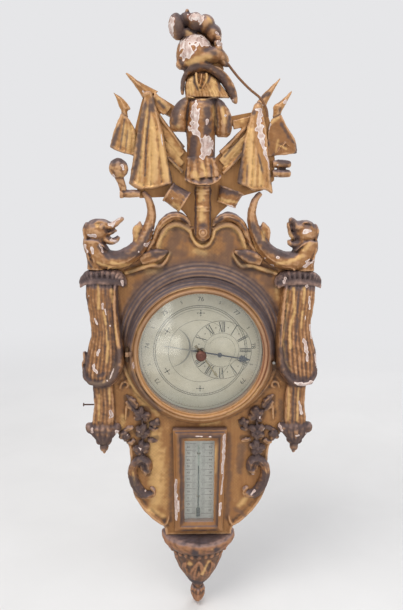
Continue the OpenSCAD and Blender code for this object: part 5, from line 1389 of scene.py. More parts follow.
def make_lances():
    """Poles, heads and the bundles that they hold."""

    def pole(a, b, half, high, shape=None):
        return ribbon([(a[0], a[1], half, high), (b[0], b[1], half, high)], count=24, sides=10, shape=shape)

    plank = lambda u, t: 0.75 + 0.25 * bulge(u, 0.25) - 0.25 * groove_at(u, 0.2, 0.05)

    def head(points, high):
        rows = np.asarray(points, float)
        p = through(rows, 30)
        return relief(p[:, :2], p[:, 2:4], p[:, 4] * high, FACE, 13, ridge(0.35), True)

    left = [pole((-30.5, 2.5), (-84, 70), 3.4, 7), pole((-30.5, -35), (-98, 28), 3.4, 7),
            pole((-31, -7.5), (-74, 40.5), 5.5, 5, plank), pole((-31, -23), (-70, 18), 4.5, 3.5, plank),
            head([[-94, 77, -69, 87, 1.1], [-104, 93, -93, 99, 1.2], [-120, 113, -118, 114.5, 0.5]], 7),
            head([[-126.5, 54, -116, 47, 0.9], [-127, 59, -117, 57, 0.9], [-130, 63, -112.5, 61, 1.1],
                  [-134, 74, -124, 76, 0.9], [-139.5, 84.5, -138, 85.5, 0.5]], 7),
            pole((-53, 58), (-78, 79), 7.5, 6.5, plank), pole((-60, 53), (-80, 70), 2.2, 6.8)]
    carving("lances_left_carved", left, "bright_gilding", ["lances_left"], voxel=1.1)
    right = [pole((29, -4.5), (88, 56), 3.4, 7), pole((32.5, -36), (92, 20.5), 3.4, 7),
             pole((30, -19.5), (84, 32.5), 6.5, 5, plank), pole((33, -31), (74, 7), 3.5, 3.5, plank),
             head([[84, 73, 99, 68, 1.1], [97, 89, 107, 85, 1.1], [119.5, 110, 121, 109, 0.5]], 6.5),
             head([[110, 50, 123, 56, 0.9], [110.5, 60, 125, 62, 0.9], [111, 69, 128.5, 68, 1.1],
                   [124, 78, 133, 76, 0.9], [138.5, 91.5, 139.8, 90.5, 0.5]], 6.5),
             pole((47, 38), (79, 46.5), 7, 6.5, plank)]
    carving("lances_right_carved", right, "bright_gilding", ["lances_right"], voxel=1.1)


def make_drums():
    """The two small field drums with their cords."""

    def drum(name, x, z, tilt, low, high, length, nodes):
        turn = np.linspace(0, math.tau, 64, endpoint=False)
        a = math.radians(tilt)
        rings = []
        stations = [
            (-0.5, low - 2.5), (-0.5, low + 0.6), (-0.49, low + 1.3), (-0.41, low + 1.2), (-0.4, low - 0.2),
            (-0.2, low * 0.7 + high * 0.3 + 0.2), (0.1, low * 0.4 + high * 0.6 + 0.2), (0.4, high - 0.2),
            (0.41, high + 1.1), (0.49, high + 1.2), (0.5, high + 0.4), (0.5, high - 2.5), (0.47, high - 3)]
        for share, radius in stations:
            along = share * length
            px, pd = radius * np.cos(turn), radius * np.sin(turn)
            rings.append(np.stack([x + px * math.cos(a) + along * math.sin(a),
                                   np.maximum(FACE + 4 + pd, FACE),
                                   z - px * math.sin(a) + along * math.cos(a)], -1))
        shells = [skin(rings)]
        for k in range(5):
            start = -0.8 + 0.4 * k
            points = []
            for share, lean in ((-0.42, 0), (0.0, 0.2), (0.42, 0.4)):
                radius = low + (high - low) * (share + 0.5)
                px = radius * math.sin(start + lean)
                pd = radius * math.cos(start + lean)
                points.append((x + px * math.cos(a) + share * length * math.sin(a),
                               z - px * math.sin(a) + share * length * math.cos(a), FACE + 4 + pd, 0.7))
            shells.append(tube(through(points, 14), 6))
        carving(name, shells, "brown_gilding", nodes, voxel=0.9)

    drum("drum_small_left", -41, -73.5, -57.6, 17.3, 16, 32, ["field_drum_left"])
    drum("drum_small_right", 43, -73, 19, 15, 20, 26, ["field_drum_right"])


def make_arms():
    """Mace and gun on the left, gun ends on the right."""
    mace = [
        ball(-132, -30, FACE + 8, 16, 16, 16, 0, None, 36, 6, 0.1),
        tube(
            [
                (-132, -43, FACE + 8, 6.5), (-128, -50, FACE + 8, 6), (-126, -60, FACE + 7, 6),
                (-126, -64, FACE + 7, 6)],
            16),
        tube(
            [
                (-131, -69, FACE + 6, 7.4), (-126, -69, FACE + 6, 7.4), (-125, -69, FACE + 6, 6.1),
                (-99, -69, FACE + 6, 5.9), (-98, -69, FACE + 6, 5)],
            20)]
    mace[2] = (
        np.stack([mace[2][0][:, 0], np.maximum(mace[2][0][:, 1], FACE), mace[2][0][:, 2]], 1), mace[2][1])
    carving("mace_and_gun", mace, "dark_gilding", ["arms_left"], voxel=1.0)
    stubs = []
    for z in (-20, -35):
        stubs.append(ribbon([(112, z, 5.6, 10.5), (116, z, 6, 11), (126, z, 6.2, 11), (138, z, 6, 11),
                             (141.6, z, 4.2, 9)], count=30, sides=16))
        stubs.append(ribbon([(120, z, 6.6, 11.6), (122.5, z, 6.6, 11.6)], count=6, sides=14))
    carving("gun_ends", stubs, "dark_gilding", ["arms_right"], voxel=1.0)


# Pieces of the sides


def make_dolphin(side):
    """One dolphin: body, head, beak, fin, crest and gills."""
    body = [(95, -66, 3.5, 8), (86, -77, 5.5, 11), (81, -97, 7, 14), (84, -118, 9, 17), (92, -139, 11, 20),
            (105, -157, 13, 22), (122, -170, 14.5, 24), (141, -175, 15, 25), (160, -172, 17, 26),
            (172, -156, 18, 27), (173, -142, 17.5, 28)]
    head = [
        ball(168, -128, FACE + 3, 20, 19, 25, 20, FACE, 34),
        ball(158, -119, FACE + 4, 13, 9, 22, 10, FACE, 24)]
    if side < 0:
        beak = [
            (158, -119, 9, 24), (147, -120, 6.5, 21), (138, -116, 5, 17), (130, -110, 4.2, 14),
            (125, -109, 2.4, 11)]
        jaw = [(156, -140, 7, 20), (146, -145, 5.5, 18), (138, -142, 5, 15), (134, -137, 3, 11)]
        tongue = [(150, -132, 4, 16), (142, -129, 3, 13), (137, -127, 1.5, 10)]
        brow = [(172, -118, 3, 23), (165, -112.5, 3.4, 24.5), (156, -113, 3, 23.5), (149, -116, 2, 20)]
        eye = (160, -121)
    else:
        beak = [(162, -118, 9, 24), (153, -116, 7, 22), (147, -110, 5.2, 18), (143.5, -106, 3, 13)]
        jaw = [(160, -144, 8, 21), (151, -148, 6.5, 19), (145, -146, 4.5, 15), (144, -141, 2.6, 11)]
        tongue = [(152, -138, 4, 16), (145, -131, 3.5, 14), (142, -120, 3, 12), (140, -113, 1.6, 9)]
        brow = [(178, -121, 3, 23), (173, -113, 3.4, 25), (164, -111.5, 3, 25), (157, -115, 2, 21)]
        eye = (171, -124)
    fin = [
        (108, -158, 4, 8), (104.5, -141, 6.8, 9), (103, -126, 8.6, 9), (101, -119, 5, 8.5),
        (99.5, -112, 0.8, 7)]
    crest = [(185, -142, 4, 15), (187.5, -127, 4, 16), (184, -115, 3, 12)]
    gill = [
        (184, -150, 2.6, 22), (178, -142, 2.6, 26), (168, -143, 2.4, 28), (158, -150, 2, 26.5),
        (150, -158, 1.6, 24)]
    shells = [
        ribbon(body, count=80, sides=24), *head, ribbon(beak, count=24, sides=14),
        ribbon(jaw, count=20, sides=14), ribbon(tongue, count=16, sides=10), ribbon(brow, count=24, sides=8),
        ribbon(fin, count=30, sides=14, shape=dome(0.2, 0.6)), ribbon(crest, count=16, sides=8),
        ribbon(gill, count=30, sides=8), ball(eye[0], eye[1], FACE + 23, 5, 4.4, 4.5, sides=18),
        ribbon([(x - 3.5, z - 5.0, 1.6, h + 0.5) for x, z, w, h in body[1:9]], count=60, sides=8),
        level(
            [(-191, 156, 187, 19), (-180, 158, 186, 21), (-160, 164, 188, 20)], count=16, sides=20,
            shape=rolls(4, 0.12, 0.5, 0.2)),
        ribbon(
            [(152, -189, 2.6, 22), (144, -184, 3, 23), (132, -183, 2.4, 22), (118, -178, 1.6, 18)], count=30,
            sides=8)]
    for k in range(4):
        shells.append(
            ribbon(
                [(154 + 8 * k, -184, 2.2, 21.5), (160 + 7 * k, -168, 2.8, 26), (167 + 6 * k, -152, 1.8, 26)],
                count=20, sides=8))
    side_carving("dolphin", side, shells, "brown_gilding", voxel=1.2, smooth=4)


def make_scroll(side):
    """One horn from the cannon and the leaf on the dolphin's shoulder."""
    horn = [
        (18, -120, 1.6, 5), (22, -112.5, 4, 9), (29, -107, 5.6, 13), (39, -103.5, 6.6, 15),
        (50, -105, 7, 16), (60, -111, 6.5, 15), (68, -120, 5.5, 13), (74, -132, 4.6, 11), (80, -146, 4, 9),
        (87, -159, 3.2, 7.5), (95, -170, 2.2, 6)]
    grooves = lambda u, t: (0.2 + 0.8 * bulge(u)) * (
        1 - 0.3 * groove_at(u, 0.36, 0.06) - 0.25 * groove_at(u, 0.7, 0.05))
    wedge = [
        (99, -176, 8, 9), (89, -172, 10, 11.5), (77, -168, 10.5, 11.5), (66, -164.5, 7.5, 10),
        (54, -160.5, 1.5, 6)]
    shells = [ribbon(horn, count=70, sides=26, shape=grooves),
              ribbon(wedge, count=40, sides=22, shape=folds([0, 0.42, 1], 0.2, 0.5, 0.5), even=True)]
    side_carving("scroll", side, shells, "brown_gilding", voxel=1.1)


def make_drop(side):
    """One side drop: gathered collar, drapery, fluted tube, cup and bud."""
    high = 29
    collar = [
        (127.5, -218, 4, 11), (127, -212, 5.5, 15), (131.5, -206, 7.5, 20), (141, -200.8, 9.6, 23),
        (160, -199.8, 10.1, 24), (180, -200.8, 9.6, 23), (190, -205.5, 7.5, 20), (194.5, -211, 5.5, 15),
        (194.5, -217, 4, 11)]
    if side < 0:
        drape = [
            (-388, 156, 177, 0.3), (-385, 147, 187, 0.7), (-378, 140, 192, 0.88), (-366, 136, 194, 0.92),
            (-346, 133, 192, 0.88), (-325, 133, 188, 0.83), (-310, 135, 184.5, 0.8), (-294, 137, 181, 0.77),
            (-263, 140, 184, 0.72), (-235, 140.5, 188.5, 0.68), (-212, 139.5, 187.5, 0.64)]
        roll = [(140, -214, 4, 19), (141.5, -240, 5, 21), (141, -265, 5.5, 23), (138, -294, 6, 26),
                (134.5, -322, 7, 29), (135, -345, 8, 30.5), (141, -362, 8.5, 31), (153, -375, 8.5, 31),
                (168, -380, 8, 30), (182, -378, 7, 28), (192, -369, 5.5, 24), (195, -355, 3, 16)]
    else:
        drape = [
            (-388, 160, 177, 0.3), (-385, 150, 189, 0.7), (-378, 143, 194, 0.88), (-366, 137, 196, 0.92),
            (-346, 132, 196, 0.88), (-330, 130.5, 195, 0.84), (-311, 130, 189.5, 0.8),
            (-283, 131.5, 184, 0.75), (-262, 133.5, 186, 0.72), (-235, 137, 189, 0.68),
            (-212, 139.5, 188, 0.64)]
        roll = [(140, -214, 4, 19), (136.5, -240, 5, 21), (134, -275, 5.5, 24), (132, -310, 6.5, 27),
                (134, -340, 7.5, 30), (141, -361, 8, 31), (153, -375, 8, 31), (168, -380, 7.5, 30),
                (182, -378, 7, 28), (192.5, -369, 5.5, 24), (196, -357, 3, 16)]
    lower = [
        (-460, 147, 185, 13), (-445, 146.5, 183, 14), (-425, 146, 180.5, 14.5), (-405, 147, 180.5, 14.5),
        (-386, 148, 182.5, 14)]
    cup = [(-492, 157, 174, 15), (-484, 150, 181, 19), (-474, 142, 189, 21), (-465, 139, 192, 20),
           (-459, 144, 188, 16), (-455, 148, 184, 12)]
    gathers = lambda u, t: (0.12 + 0.88 * bulge(u, 0.42)) * (
        1 - 0.42 * (0.5 + 0.5 * np.cos(math.tau * 19 * t)) ** 2 * (0.25 + u))
    shells = [
        ribbon(collar, count=150, sides=20, shape=gathers),
        level(
            [(z, a, b, share * high) for z, a, b, share in drape], count=70, sides=90,
            shape=folds([0, 0.1, 0.22, 0.34, 0.46, 0.57, 0.68, 0.8, 0.9, 1], 0.13, 0.4, 0.7)),
        ribbon(roll, count=80, sides=16, shape=dome(0.5)),
        level(lower, count=40, sides=80, shape=folds([0, 0.12, 0.32, 0.5, 0.7, 0.86, 1], 0.15, 0.45, 0.7)),
        level(cup, count=30, sides=50, shape=rolls(5, 0.25, 0.5, 0.15)),
        ball(165, -500, FACE + 4, 7.5, 9, 10, 0, FACE, 24),
        ball(165, -509, FACE + 2, 3.5, 5, 6, 0, FACE, 16), ball(143, -466, FACE + 3, 8, 9, 14, 25, FACE, 20),
        ball(188, -466, FACE + 3, 8, 10, 14, -25, FACE, 20),
        ball(157, -490, FACE + 2, 5, 6.5, 12, 30, FACE, 18),
        ball(174, -490, FACE + 2, 5, 6.5, 12, -30, FACE, 18)]
    for t in np.arange(26) / 25:
        off = abs(2 * t - 1)
        shells.append(
            ball(127 + 69 * t, -208 - 6.65 * off**4, FACE + 19 - 6 * off**2, 1.9, 6, 4.2, sides=10))
    if side < 0:
        shells.append(
            ribbon(
                [(195, -330, 2.5, 9), (192, -345, 5, 14), (197, -352, 3, 10), (194, -362, 5, 14)], count=24,
                sides=8))
    side_carving("drop", side, shells, "drop_gilding", voxel=1.2, rough=0.35)


def make_garland(side):
    """One garland of flowers and leaves with its scroll."""
    jitter = np.random.default_rng(7 if side < 0 else 9)

    def flower(x, z, size, high, petals=5, first=0.0):
        off = lambda reach, turn: (x + reach * math.cos(turn), z + reach * math.sin(turn))
        made = [ball(x, z, FACE + high * 0.7, 0.2 * size, 0.2 * size, high * 0.42, 0, FACE, 14),
                ball(x, z, FACE, 0.62 * size, 0.62 * size, high * 0.72, 0, FACE, 18)]
        for k in range(petals):
            a = first + math.tau * (k + 0.35 * jitter.uniform(-1, 1)) / petals
            reach = size * jitter.uniform(0.85, 1.12)
            wide = size * jitter.uniform(0.36, 0.48)
            tip = high * jitter.uniform(0.45, 0.75)
            rows = [
                (x, z, wide * 0.5, high * 0.8), (*off(0.45 * reach, a), wide, high),
                (*off(0.8 * reach, a + 0.15), wide * 0.9, high * 0.85), (*off(reach, a + 0.25), 0.8, tip)]
            made.append(ribbon(rows, count=16, sides=12, shape=veined(2, 0.3)))
        return made

    def leaf(rows, lobes=3):
        return ribbon(rows, count=26, sides=14, shape=veined(lobes, 0.35), lobes=lobes, lobe_depth=0.3)

    curl = [
        (81, -588, 4.5, 9), (88, -592, 7, 11), (98, -591, 8.5, 12), (107, -581, 9, 12.5),
        (114, -566, 9, 12.5), (117, -549, 8.5, 12.5), (113, -535, 8, 12.5), (105, -526, 7.5, 13),
        (97, -525, 7, 14), (90, -531, 6.5, 15), (89, -542, 6.5, 15), (96, -547, 5, 14)]
    shells = [
        *flower(99, -443, 14, 13, 5, 0.3), *flower(99, -473, 14.5, 15, 5, 0.9),
        *flower(101, -504, 14, 14, 5, 0.1), *flower(129, -480.5, 10, 10, 5, 0.5),
        *flower(77, -458, 9.5, 9, 4, 0.2), ribbon(curl, count=90, sides=16, shape=dome(0.5)),
        ribbon([(x, z, 1.6, h + 2) for x, z, w, h in curl[1:11]], count=70, sides=8),
        leaf([(108, -430, 4, 7), (114, -420, 7, 9), (121, -412, 5, 8), (127, -407, 1.5, 4)], 4),
        leaf([(112, -436, 3, 6), (120, -428, 5, 8), (126, -418, 3, 6)]),
        leaf([(90, -488, 4, 7), (82, -490, 5.5, 8), (73, -492, 2, 4)]),
        leaf([(112, -488, 4, 7), (119, -494, 5, 8), (127, -494, 2, 4)]),
        leaf([(114, -466, 4, 7), (122, -468, 5, 8), (134, -474, 2, 4)]),
        leaf([(88, -466, 3, 7), (79, -470, 4, 7), (71, -468, 1.6, 4)]),
        leaf([(100, -516, 7, 10), (101, -528, 8, 11), (98, -542, 6, 10), (94, -555, 2, 6)], 4),
        leaf([(84, -597, 3, 8), (80, -586, 5, 10), (86, -578, 3, 7)], 2),
        ribbon(
            [(99, -430, 2.2, 7), (99, -458, 2.2, 7), (99, -488, 2.2, 7), (101, -516, 3, 8)], count=40,
            sides=8)]
    side_carving("garland", side, shells, "dark_gilding", voxel=1.0)


# Panel, drum and pendant


def panel_outline():
    """The right half of the panel's outline, from the middle of its top edge to its foot."""
    roof = counted_from(
        [
            (-142, 0), (-132, 9), (-120, 14), (-106, 13), (-94, 4), (-86, -10), (-76, -24), (-64, -34),
            (-50, -46), (-32, -56), (-10, -63), (14, -68), (24, -84)],
        SIDE_X, DIAL_Z + 209)
    waist = counted_from(
        [(24, 90), (23, 40), (24, 0), (30, -24), (30, -40), (18, -56), (13, -72), (13, -122)], SIDE_X, DIAL_Z
    )
    foot = counted_from(
        [
            (-12, -126), (-19, -150), (-35, -168), (-39, -195), (-39, -226), (-45, -256), (-58, -282),
            (-78, -306), (-97, -326)],
        SIDE_X, DIAL_Z)
    return np.concatenate(
        [through(roof, 90), through(waist, 60), through([*foot, (SIDE_X - 101, FOOT_Z)], 80)])


def make_panel():
    """The front board with its raised rim, crescent and thin scrolls."""
    half = panel_outline()
    back = FACE - 1000 * (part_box("front_panel")[1].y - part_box("front_panel")[0].y)
    outline = np.concatenate([half, half[::-1] * [-1, 1]])
    ahead, behind = np.roll(outline, -1, 0), np.roll(outline, 1, 0)
    run = ahead - behind
    inward = np.stack([run[:, 1], -run[:, 0]], 1) / np.linalg.norm(run, axis=1)[:, None]
    for _ in range(6):
        inward = (inward + np.roll(inward, 1, 0) + np.roll(inward, -1, 0)) / 3
    centre = np.array([0.0, DIAL_Z])
    if ((centre - outline) * inward).sum() < 0:
        inward = -inward
    steps = [
        (0, back), (0, FACE - 2), (0.4, FACE + 0.5), (1.3, FACE + 1.9), (2.6, FACE + 2.4), (4, FACE + 2.1),
        (5.2, FACE + 1.1), (6, FACE + 0.15), (6.6, FACE)]
    rings = [np.stack([(outline + inward * step)[:, 0], np.full(len(outline), depth),
                       (outline + inward * step)[:, 1]], -1) for step, depth in steps]
    crescent = [
        (115.8, FACE - 6), (138, FACE - 6), (138, FACE + 1), (137, FACE + 3), (135, FACE + 3.6),
        (133, FACE + 2.4), (131, FACE + 2.6), (129.5, FACE + 5), (127, FACE + 5.6), (122, FACE + 5.6),
        (115.8, FACE + 5.6)]
    shells = [skin(rings), lathe(crescent, 0, DIAL_Z + 11, 300)]
    u = [(-24, -113, 1.8, 3), (-18, -128, 2.8, 4.4), (-14.5, -140, 3.2, 5), (-7.5, -149.5, 3.4, 5.2),
         (1.5, -153, 3.4, 5.2), (10.5, -149.5, 3.4, 5.2), (17.5, -140, 3.2, 5), (21, -128, 2.8, 4.4),
         (27, -113, 1.8, 3)]
    shells.append(ribbon(u, count=60, sides=12))
    for side in (-1, 1):
        arch = [(15, -134, 1.8, 3), (23, -124, 4, 4.6), (36, -117, 5, 5.2), (50, -118, 5, 5.2),
                (61, -126, 4.6, 5), (68, -140, 4, 4.6), (73, -156, 2.6, 3)]
        shoulder = [(52, -163, 1.2, 3), (57, -175, 2.8, 5), (67, -185, 3.8, 6), (84, -184, 4.2, 6.5),
                    (106, -191, 4.2, 6.5), (126, -198, 3, 5)]
        lower = [(122, -412, 1.6, 3), (126, -430, 2.2, 4), (128, -452, 1.6, 3)]
        swirl = [
            (137, -396, 1.4, 3), (133, -386, 2, 4), (126, -384, 2.2, 4.5), (123, -391, 2, 4),
            (128, -395, 1.4, 3)]
        foot = [
            (120, -560, 2.2, 4), (113, -590, 2.8, 5), (98, -618, 3, 5.5), (78, -640, 3, 5.5),
            (62, -652, 2.6, 4.5), (56, -646, 2, 3.6), (53, -635, 1.2, 2.5)]
        shells += [
            mirrored(ribbon(r, count=50, sides=12), side) for r in (arch, shoulder, lower, swirl, foot)]
    carving("carved_panel", shells, "panel_gilding", ["front_panel"], voxel=1.5, rough=0.25, fine=0.1)


def make_drum():
    """The deep turned moulding round the dial."""
    inner = 104.6
    cove = [
        (
            DRUM_R - 1.2 - (DRUM_R - BEZEL_R - 9.5) * math.sin(math.radians(a)),
            FACE + 7 + (DRUM_FACE - FACE - 11.5) * (1 - math.cos(math.radians(a))))
        for a in range(0, 91, 10)]
    profile = [
        (inner, FACE + 0.05), (DRUM_R - 0.5, FACE + 0.05), (DRUM_R, FACE + 1.4), (DRUM_R, FACE + 4.2),
        (DRUM_R - 0.8, FACE + 5.6), *cove, (BEZEL_R + 8.6, DRUM_FACE - 4), (BEZEL_R + 4.2, DRUM_FACE - 4),
        (BEZEL_R + 3.5, DRUM_FACE - 3), (BEZEL_R + 3.5, DRUM_FACE - 0.8), (BEZEL_R + 2.9, DRUM_FACE - 0.1),
        (inner, DRUM_FACE - 0.1)]
    made = object_of("turned_drum", mesh_of("turned_drum", [lathe(profile, 0, DIAL_Z, 360)]))
    weathered(made, **MARKS["turned_drum"], smooth=0, rough=0.18, fine=0.08, own=["drum_moulding"])
    carried(made, "drum_gilding", "case", ["drum_moulding"])


def make_bezel():
    """The turned ring that holds the glass, with its hinge knuckle."""
    sight = 103.0
    rebate_r, rebate_d = sight + 3.05, DRUM_FACE + 3.5
    ledge = [(-0.6, 0.05), (0, 0.8), (-0.1, 1.5), (-0.9, 2.3), (-2.0, 2.3), (-2.7, 1.0), (-3.3, 1.0)]
    face = [(-3.9, -4.6), (-4.9, -1.8), (-6.4, -0.25), (-7.6, 0), (-8.8, -0.7), (-9.4, -2.2), (-9.8, -3.3),
            (-10.2, -2.6), (-10.8, -2.5), (-11.5, -3.5)]
    profile = [(rebate_r, DRUM_FACE + 0.05), *counted_from(ledge, BEZEL_R, DRUM_FACE),
               *counted_from(face, BEZEL_R, BEZEL_FACE), (sight, rebate_d + 1.2), (sight, rebate_d + 0.05),
               (rebate_r, rebate_d + 0.05)]
    hinge_low, hinge_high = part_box("bezel_hinge")
    hinge_x = 500 * (hinge_low.x + hinge_high.x)
    hinge_d = DRUM_FACE + 1.2
    knuckle = skin([[[hinge_x + r * math.cos(a), hinge_d + r * math.sin(a), DIAL_Z + z]
                     for a in np.linspace(0, math.tau, 24, endpoint=False)]
                    for z, r in ((-4, 2.4), (-3.7, 3), (3.7, 3), (4, 2.4))])
    tongue = slab(hinge_x, 2 - BEZEL_R, DIAL_Z - 4, DIAL_Z + 4, DRUM_FACE + 0.3, DRUM_FACE + 2.4)
    made = object_of(
        "turned_bezel", mesh_of("turned_bezel", [lathe(profile, 0, DIAL_Z, 400), knuckle, tongue]))
    weathered(made, **MARKS["turned_bezel"], smooth=0, rough=0.08, fine=0.06)
    carried(made, "bezel_gilding", "bezel", ["bezel_ring"])


def make_pendant():
    """Half-round collar, leaf-covered cup and tip."""
    rows = [
        (-145.4, 2, 11), (-143, 6, 18), (-138, 11, 24), (-130, 13.5, 28), (-121, 12.5, 27), (-113, 8.5, 22),
        (-108, 9.5, 23), (-100, 17, 27), (-88, 27, 34), (-70, 37, 42), (-50, 44.5, 47), (-34, 49, 50),
        (-26, 52, 51)]
    rim = [(-26, 56, 53), (-20, 62, 58), (-15, 66, 61), (-9, 67, 62), (-4, 66, 61), (-0.3, 61, 57)]
    back = 12.0
    bowl = dome(0.5, 0.05)
    shells = [level([(FOOT_Z + z, -w, w, h) for z, w, h in rows], back, 60, 48, bowl, even=False),
              level([(FOOT_Z + z, -w, w, h) for z, w, h in rim], back, 30, 60, bowl, even=False)]

    def on_bowl(x, z):
        """Depth of the bowl's face at a place on it."""
        zs = [FOOT_Z + r[0] for r in rows]
        w = np.interp(z, zs, [r[1] for r in rows])
        h = np.interp(z, zs, [r[2] for r in rows])
        u = np.clip(x / np.maximum(w, 1), -0.98, 0.98)
        return back + h * (0.05 + 0.95 * math.sqrt(1 - u * u))

    def leaf(points, wide, high, sides=9):
        """An acanthus leaf that lies on the bowl; points are x and z from its root to its tip."""
        path = through(points, 26)
        rings = []
        run = np.gradient(path, axis=0)
        run /= np.linalg.norm(run, axis=1)[:, None]
        for k, (x, z) in enumerate(path):
            t = k / 25
            half = wide * (
                math.sin(math.pi * min(t * 0.95 + 0.12, 1)) ** 0.7) * (0.78 + 0.22 * abs(math.sin(9 * t)))
            nx, nz = -run[k, 1], run[k, 0]
            ring = []
            for u in np.linspace(-1, 1, sides):
                px, pz = x + nx * half * u, z + nz * half * u
                lift = high * (1 - abs(u) ** 2) ** 0.5 * (1 - 0.4 * math.exp(-((u / 0.22) ** 2)))
                ring.append([px, on_bowl(px, pz) + lift * (0.4 + 0.6 * t) - 0.3, pz])
            for u in np.linspace(1, -1, sides):
                px, pz = x + nx * half * u, z + nz * half * u
                ring.append([px, on_bowl(px, pz) - 3, pz])
            rings.append(ring)
        return skin(rings)

    base = FOOT_Z
    for points, wide in (([(0, -112), (7, -92), (11, -70), (4, -48), (0, -38)], 8),
                         ([(4, -104), (20, -80), (26, -58), (22, -42)], 8),
                         ([(16, -88), (32, -66), (40, -46), (38, -36)], 6)):
        shells += [leaf([(side * x, base + z) for x, z in points], wide, 5) for side in (-1, 1)]
    shells.append(leaf([(0, base - 96), (0, base - 80), (0, base - 62)], 6, 4))
    for k in range(13):
        a = math.radians(-78 + 13 * k)
        w = 51.5
        shells.append(
            ball(w * math.sin(a), base - 29, back + 3 + 46 * math.cos(a), 4.6, 6.5, 4.4, 0, None, 14))
        shells.append(
            ball(w * 1.01 * math.sin(a), base - 25, back + 4 + 47 * math.cos(a), 2.2, 5, 4.6, 0, None, 10))
    for k in range(5):
        x = -10 + 5 * k
        shells.append(ball(x, base - 118 + abs(x) * 0.3, back + 24 - abs(x) * 0.8, 3, 6, 5, x * 3, None, 12))
        shells.append(ball(x * 0.8, base - 130, back + 26 - abs(x) * 0.8, 3, 8, 4.6, -x * 2, None, 12))
    carving("carved_pendant", shells, "pendant_gilding", ["pendant"])


# Thermometer


def make_thermometer():
    """The moulded frame of the thermometer."""
    half_top = 500 * (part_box("thermometer_box")[1].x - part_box("thermometer_box")[0].x)
    taper = 4.5
    rail = half_top - 500 * (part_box("thermometer_glass")[1].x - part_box("thermometer_glass")[0].x) + 2.4
    rise = BOX_FACE - FACE
    glass_seat = -1000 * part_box("thermometer_glass")[0].y
    steps = [
        (0, FACE), (0, FACE + rise - 7.2), (1.0, FACE + rise - 6.2), (2.6, FACE + rise - 6.0),
        (3.4, FACE + rise - 4.2), (4.6, FACE + rise - 2.2), (6.4, FACE + rise - 1.8),
        (7.2, FACE + rise - 0.6), (8.6, FACE + rise), (11, FACE + rise - 0.1), (12.4, FACE + rise - 1.2),
        (13.2, FACE + rise - 3.4), (14.6, FACE + rise - 3.8), (17.2, FACE + rise - 5.4),
        (rail - 0.6, glass_seat + 1.2), (rail, glass_seat + 0.05)]
    corner = []
    for inset, depth in steps:
        low_in = inset if inset < 12 else inset - 1.5 * (inset - 12) / (rail - 12)
        lean = taper * (1 - inset / rail)
        corner.append(
            [
                (-half_top + inset, BOX_HIGH - inset, depth), (half_top - inset, BOX_HIGH - inset, depth),
                (half_top - taper - inset + (taper - lean), BOX_LOW + low_in, depth),
                (-half_top + taper + inset - (taper - lean), BOX_LOW + low_in, depth)])
    rings = []
    for ring in corner:
        points = []
        for k in range(4):
            a, b = np.array(ring[k]), np.array(ring[(k + 1) % 4])
            count = 30 if k % 2 == 0 else 60
            points += [a + (b - a) * t for t in np.linspace(0, 1, count, endpoint=False)]
        rings.append([[p[0], p[2], p[1]] for p in points])
    back = [[p[0], FACE, p[2]] for p in rings[-1]]
    rings.append(back)
    made = object_of("thermometer_frame", mesh_of("thermometer_frame", [looped(np.asarray(rings, float))]))
    bevel = made.modifiers.new("Soften", "BEVEL")
    bevel.width = 0.35 * MM
    bevel.segments = 2
    bevel.limit_method = "ANGLE"
    bevel.angle_limit = math.radians(35)
    settled(made)
    weathered(made, **MARKS["thermometer_frame"], smooth=0, rough=0.14, fine=0.1, own=["thermometer_box"])
    carried(made, "frame_gilding", "case", ["thermometer_box"])


def text_shell(words, size, x, z, depth, turn=0.0):
    """Flat raised figures, as points and faces in millimetres."""
    curve = bpy.data.curves.new("figure", "FONT")
    curve.body = words
    curve.size = size
    curve.align_x = "CENTER"
    curve.align_y = "CENTER"
    curve.extrude = 0.05
    made = object_of("figure", curve)
    bpy.context.view_layer.update()
    mesh = bpy.data.meshes.new_from_object(made.evaluated_get(bpy.context.evaluated_depsgraph_get()))
    points = np.array([v.co[:] for v in mesh.vertices])
    faces = [tuple(p.vertices) for p in mesh.polygons]
    bpy.data.objects.remove(made)
    a = math.radians(turn)
    px = points[:, 0] * math.cos(a) + points[:, 1] * math.sin(a)
    pz = -points[:, 0] * math.sin(a) + points[:, 1] * math.cos(a)
    return np.stack([x + px, depth + points[:, 2], z + pz], 1), faces


def stroke(x0, z0, x1, z1, wide, depth):
    """A straight flat mark between two places."""
    run = np.array([x1 - x0, z1 - z0], float)
    side = np.array([-run[1], run[0]]) / np.linalg.norm(run) * wide / 2
    a, b = np.array([x0, z0]), np.array([x1, z1])
    corners = [a + side, a - side, b - side, b + side]
    return skin(
        [[[p[0], depth - 0.04, p[1]] for p in corners], [[p[0], depth + 0.04, p[1]] for p in corners]])


def hoop(radius, wide, depth, x=0.0, z=0.0, start=0.0, sweep=360.0, segments=120):
    """A flat drawn circle or arc; angles run clockwise from the top."""
    closed = sweep >= 360
    turns = np.radians(np.linspace(start, start + sweep, segments, endpoint=not closed))
    ring = []
    for r, d in ((radius - wide / 2, -0.04), (radius + wide / 2, -0.04), (radius + wide / 2, 0.04),
                 (radius - wide / 2, 0.04)):
        ring.append(
            np.stack([x + r * np.sin(turns), np.full(len(turns), depth + d), z + r * np.cos(turns)], -1))
    points = np.stack(ring, 1)
    return looped(points) if closed else skin(points)


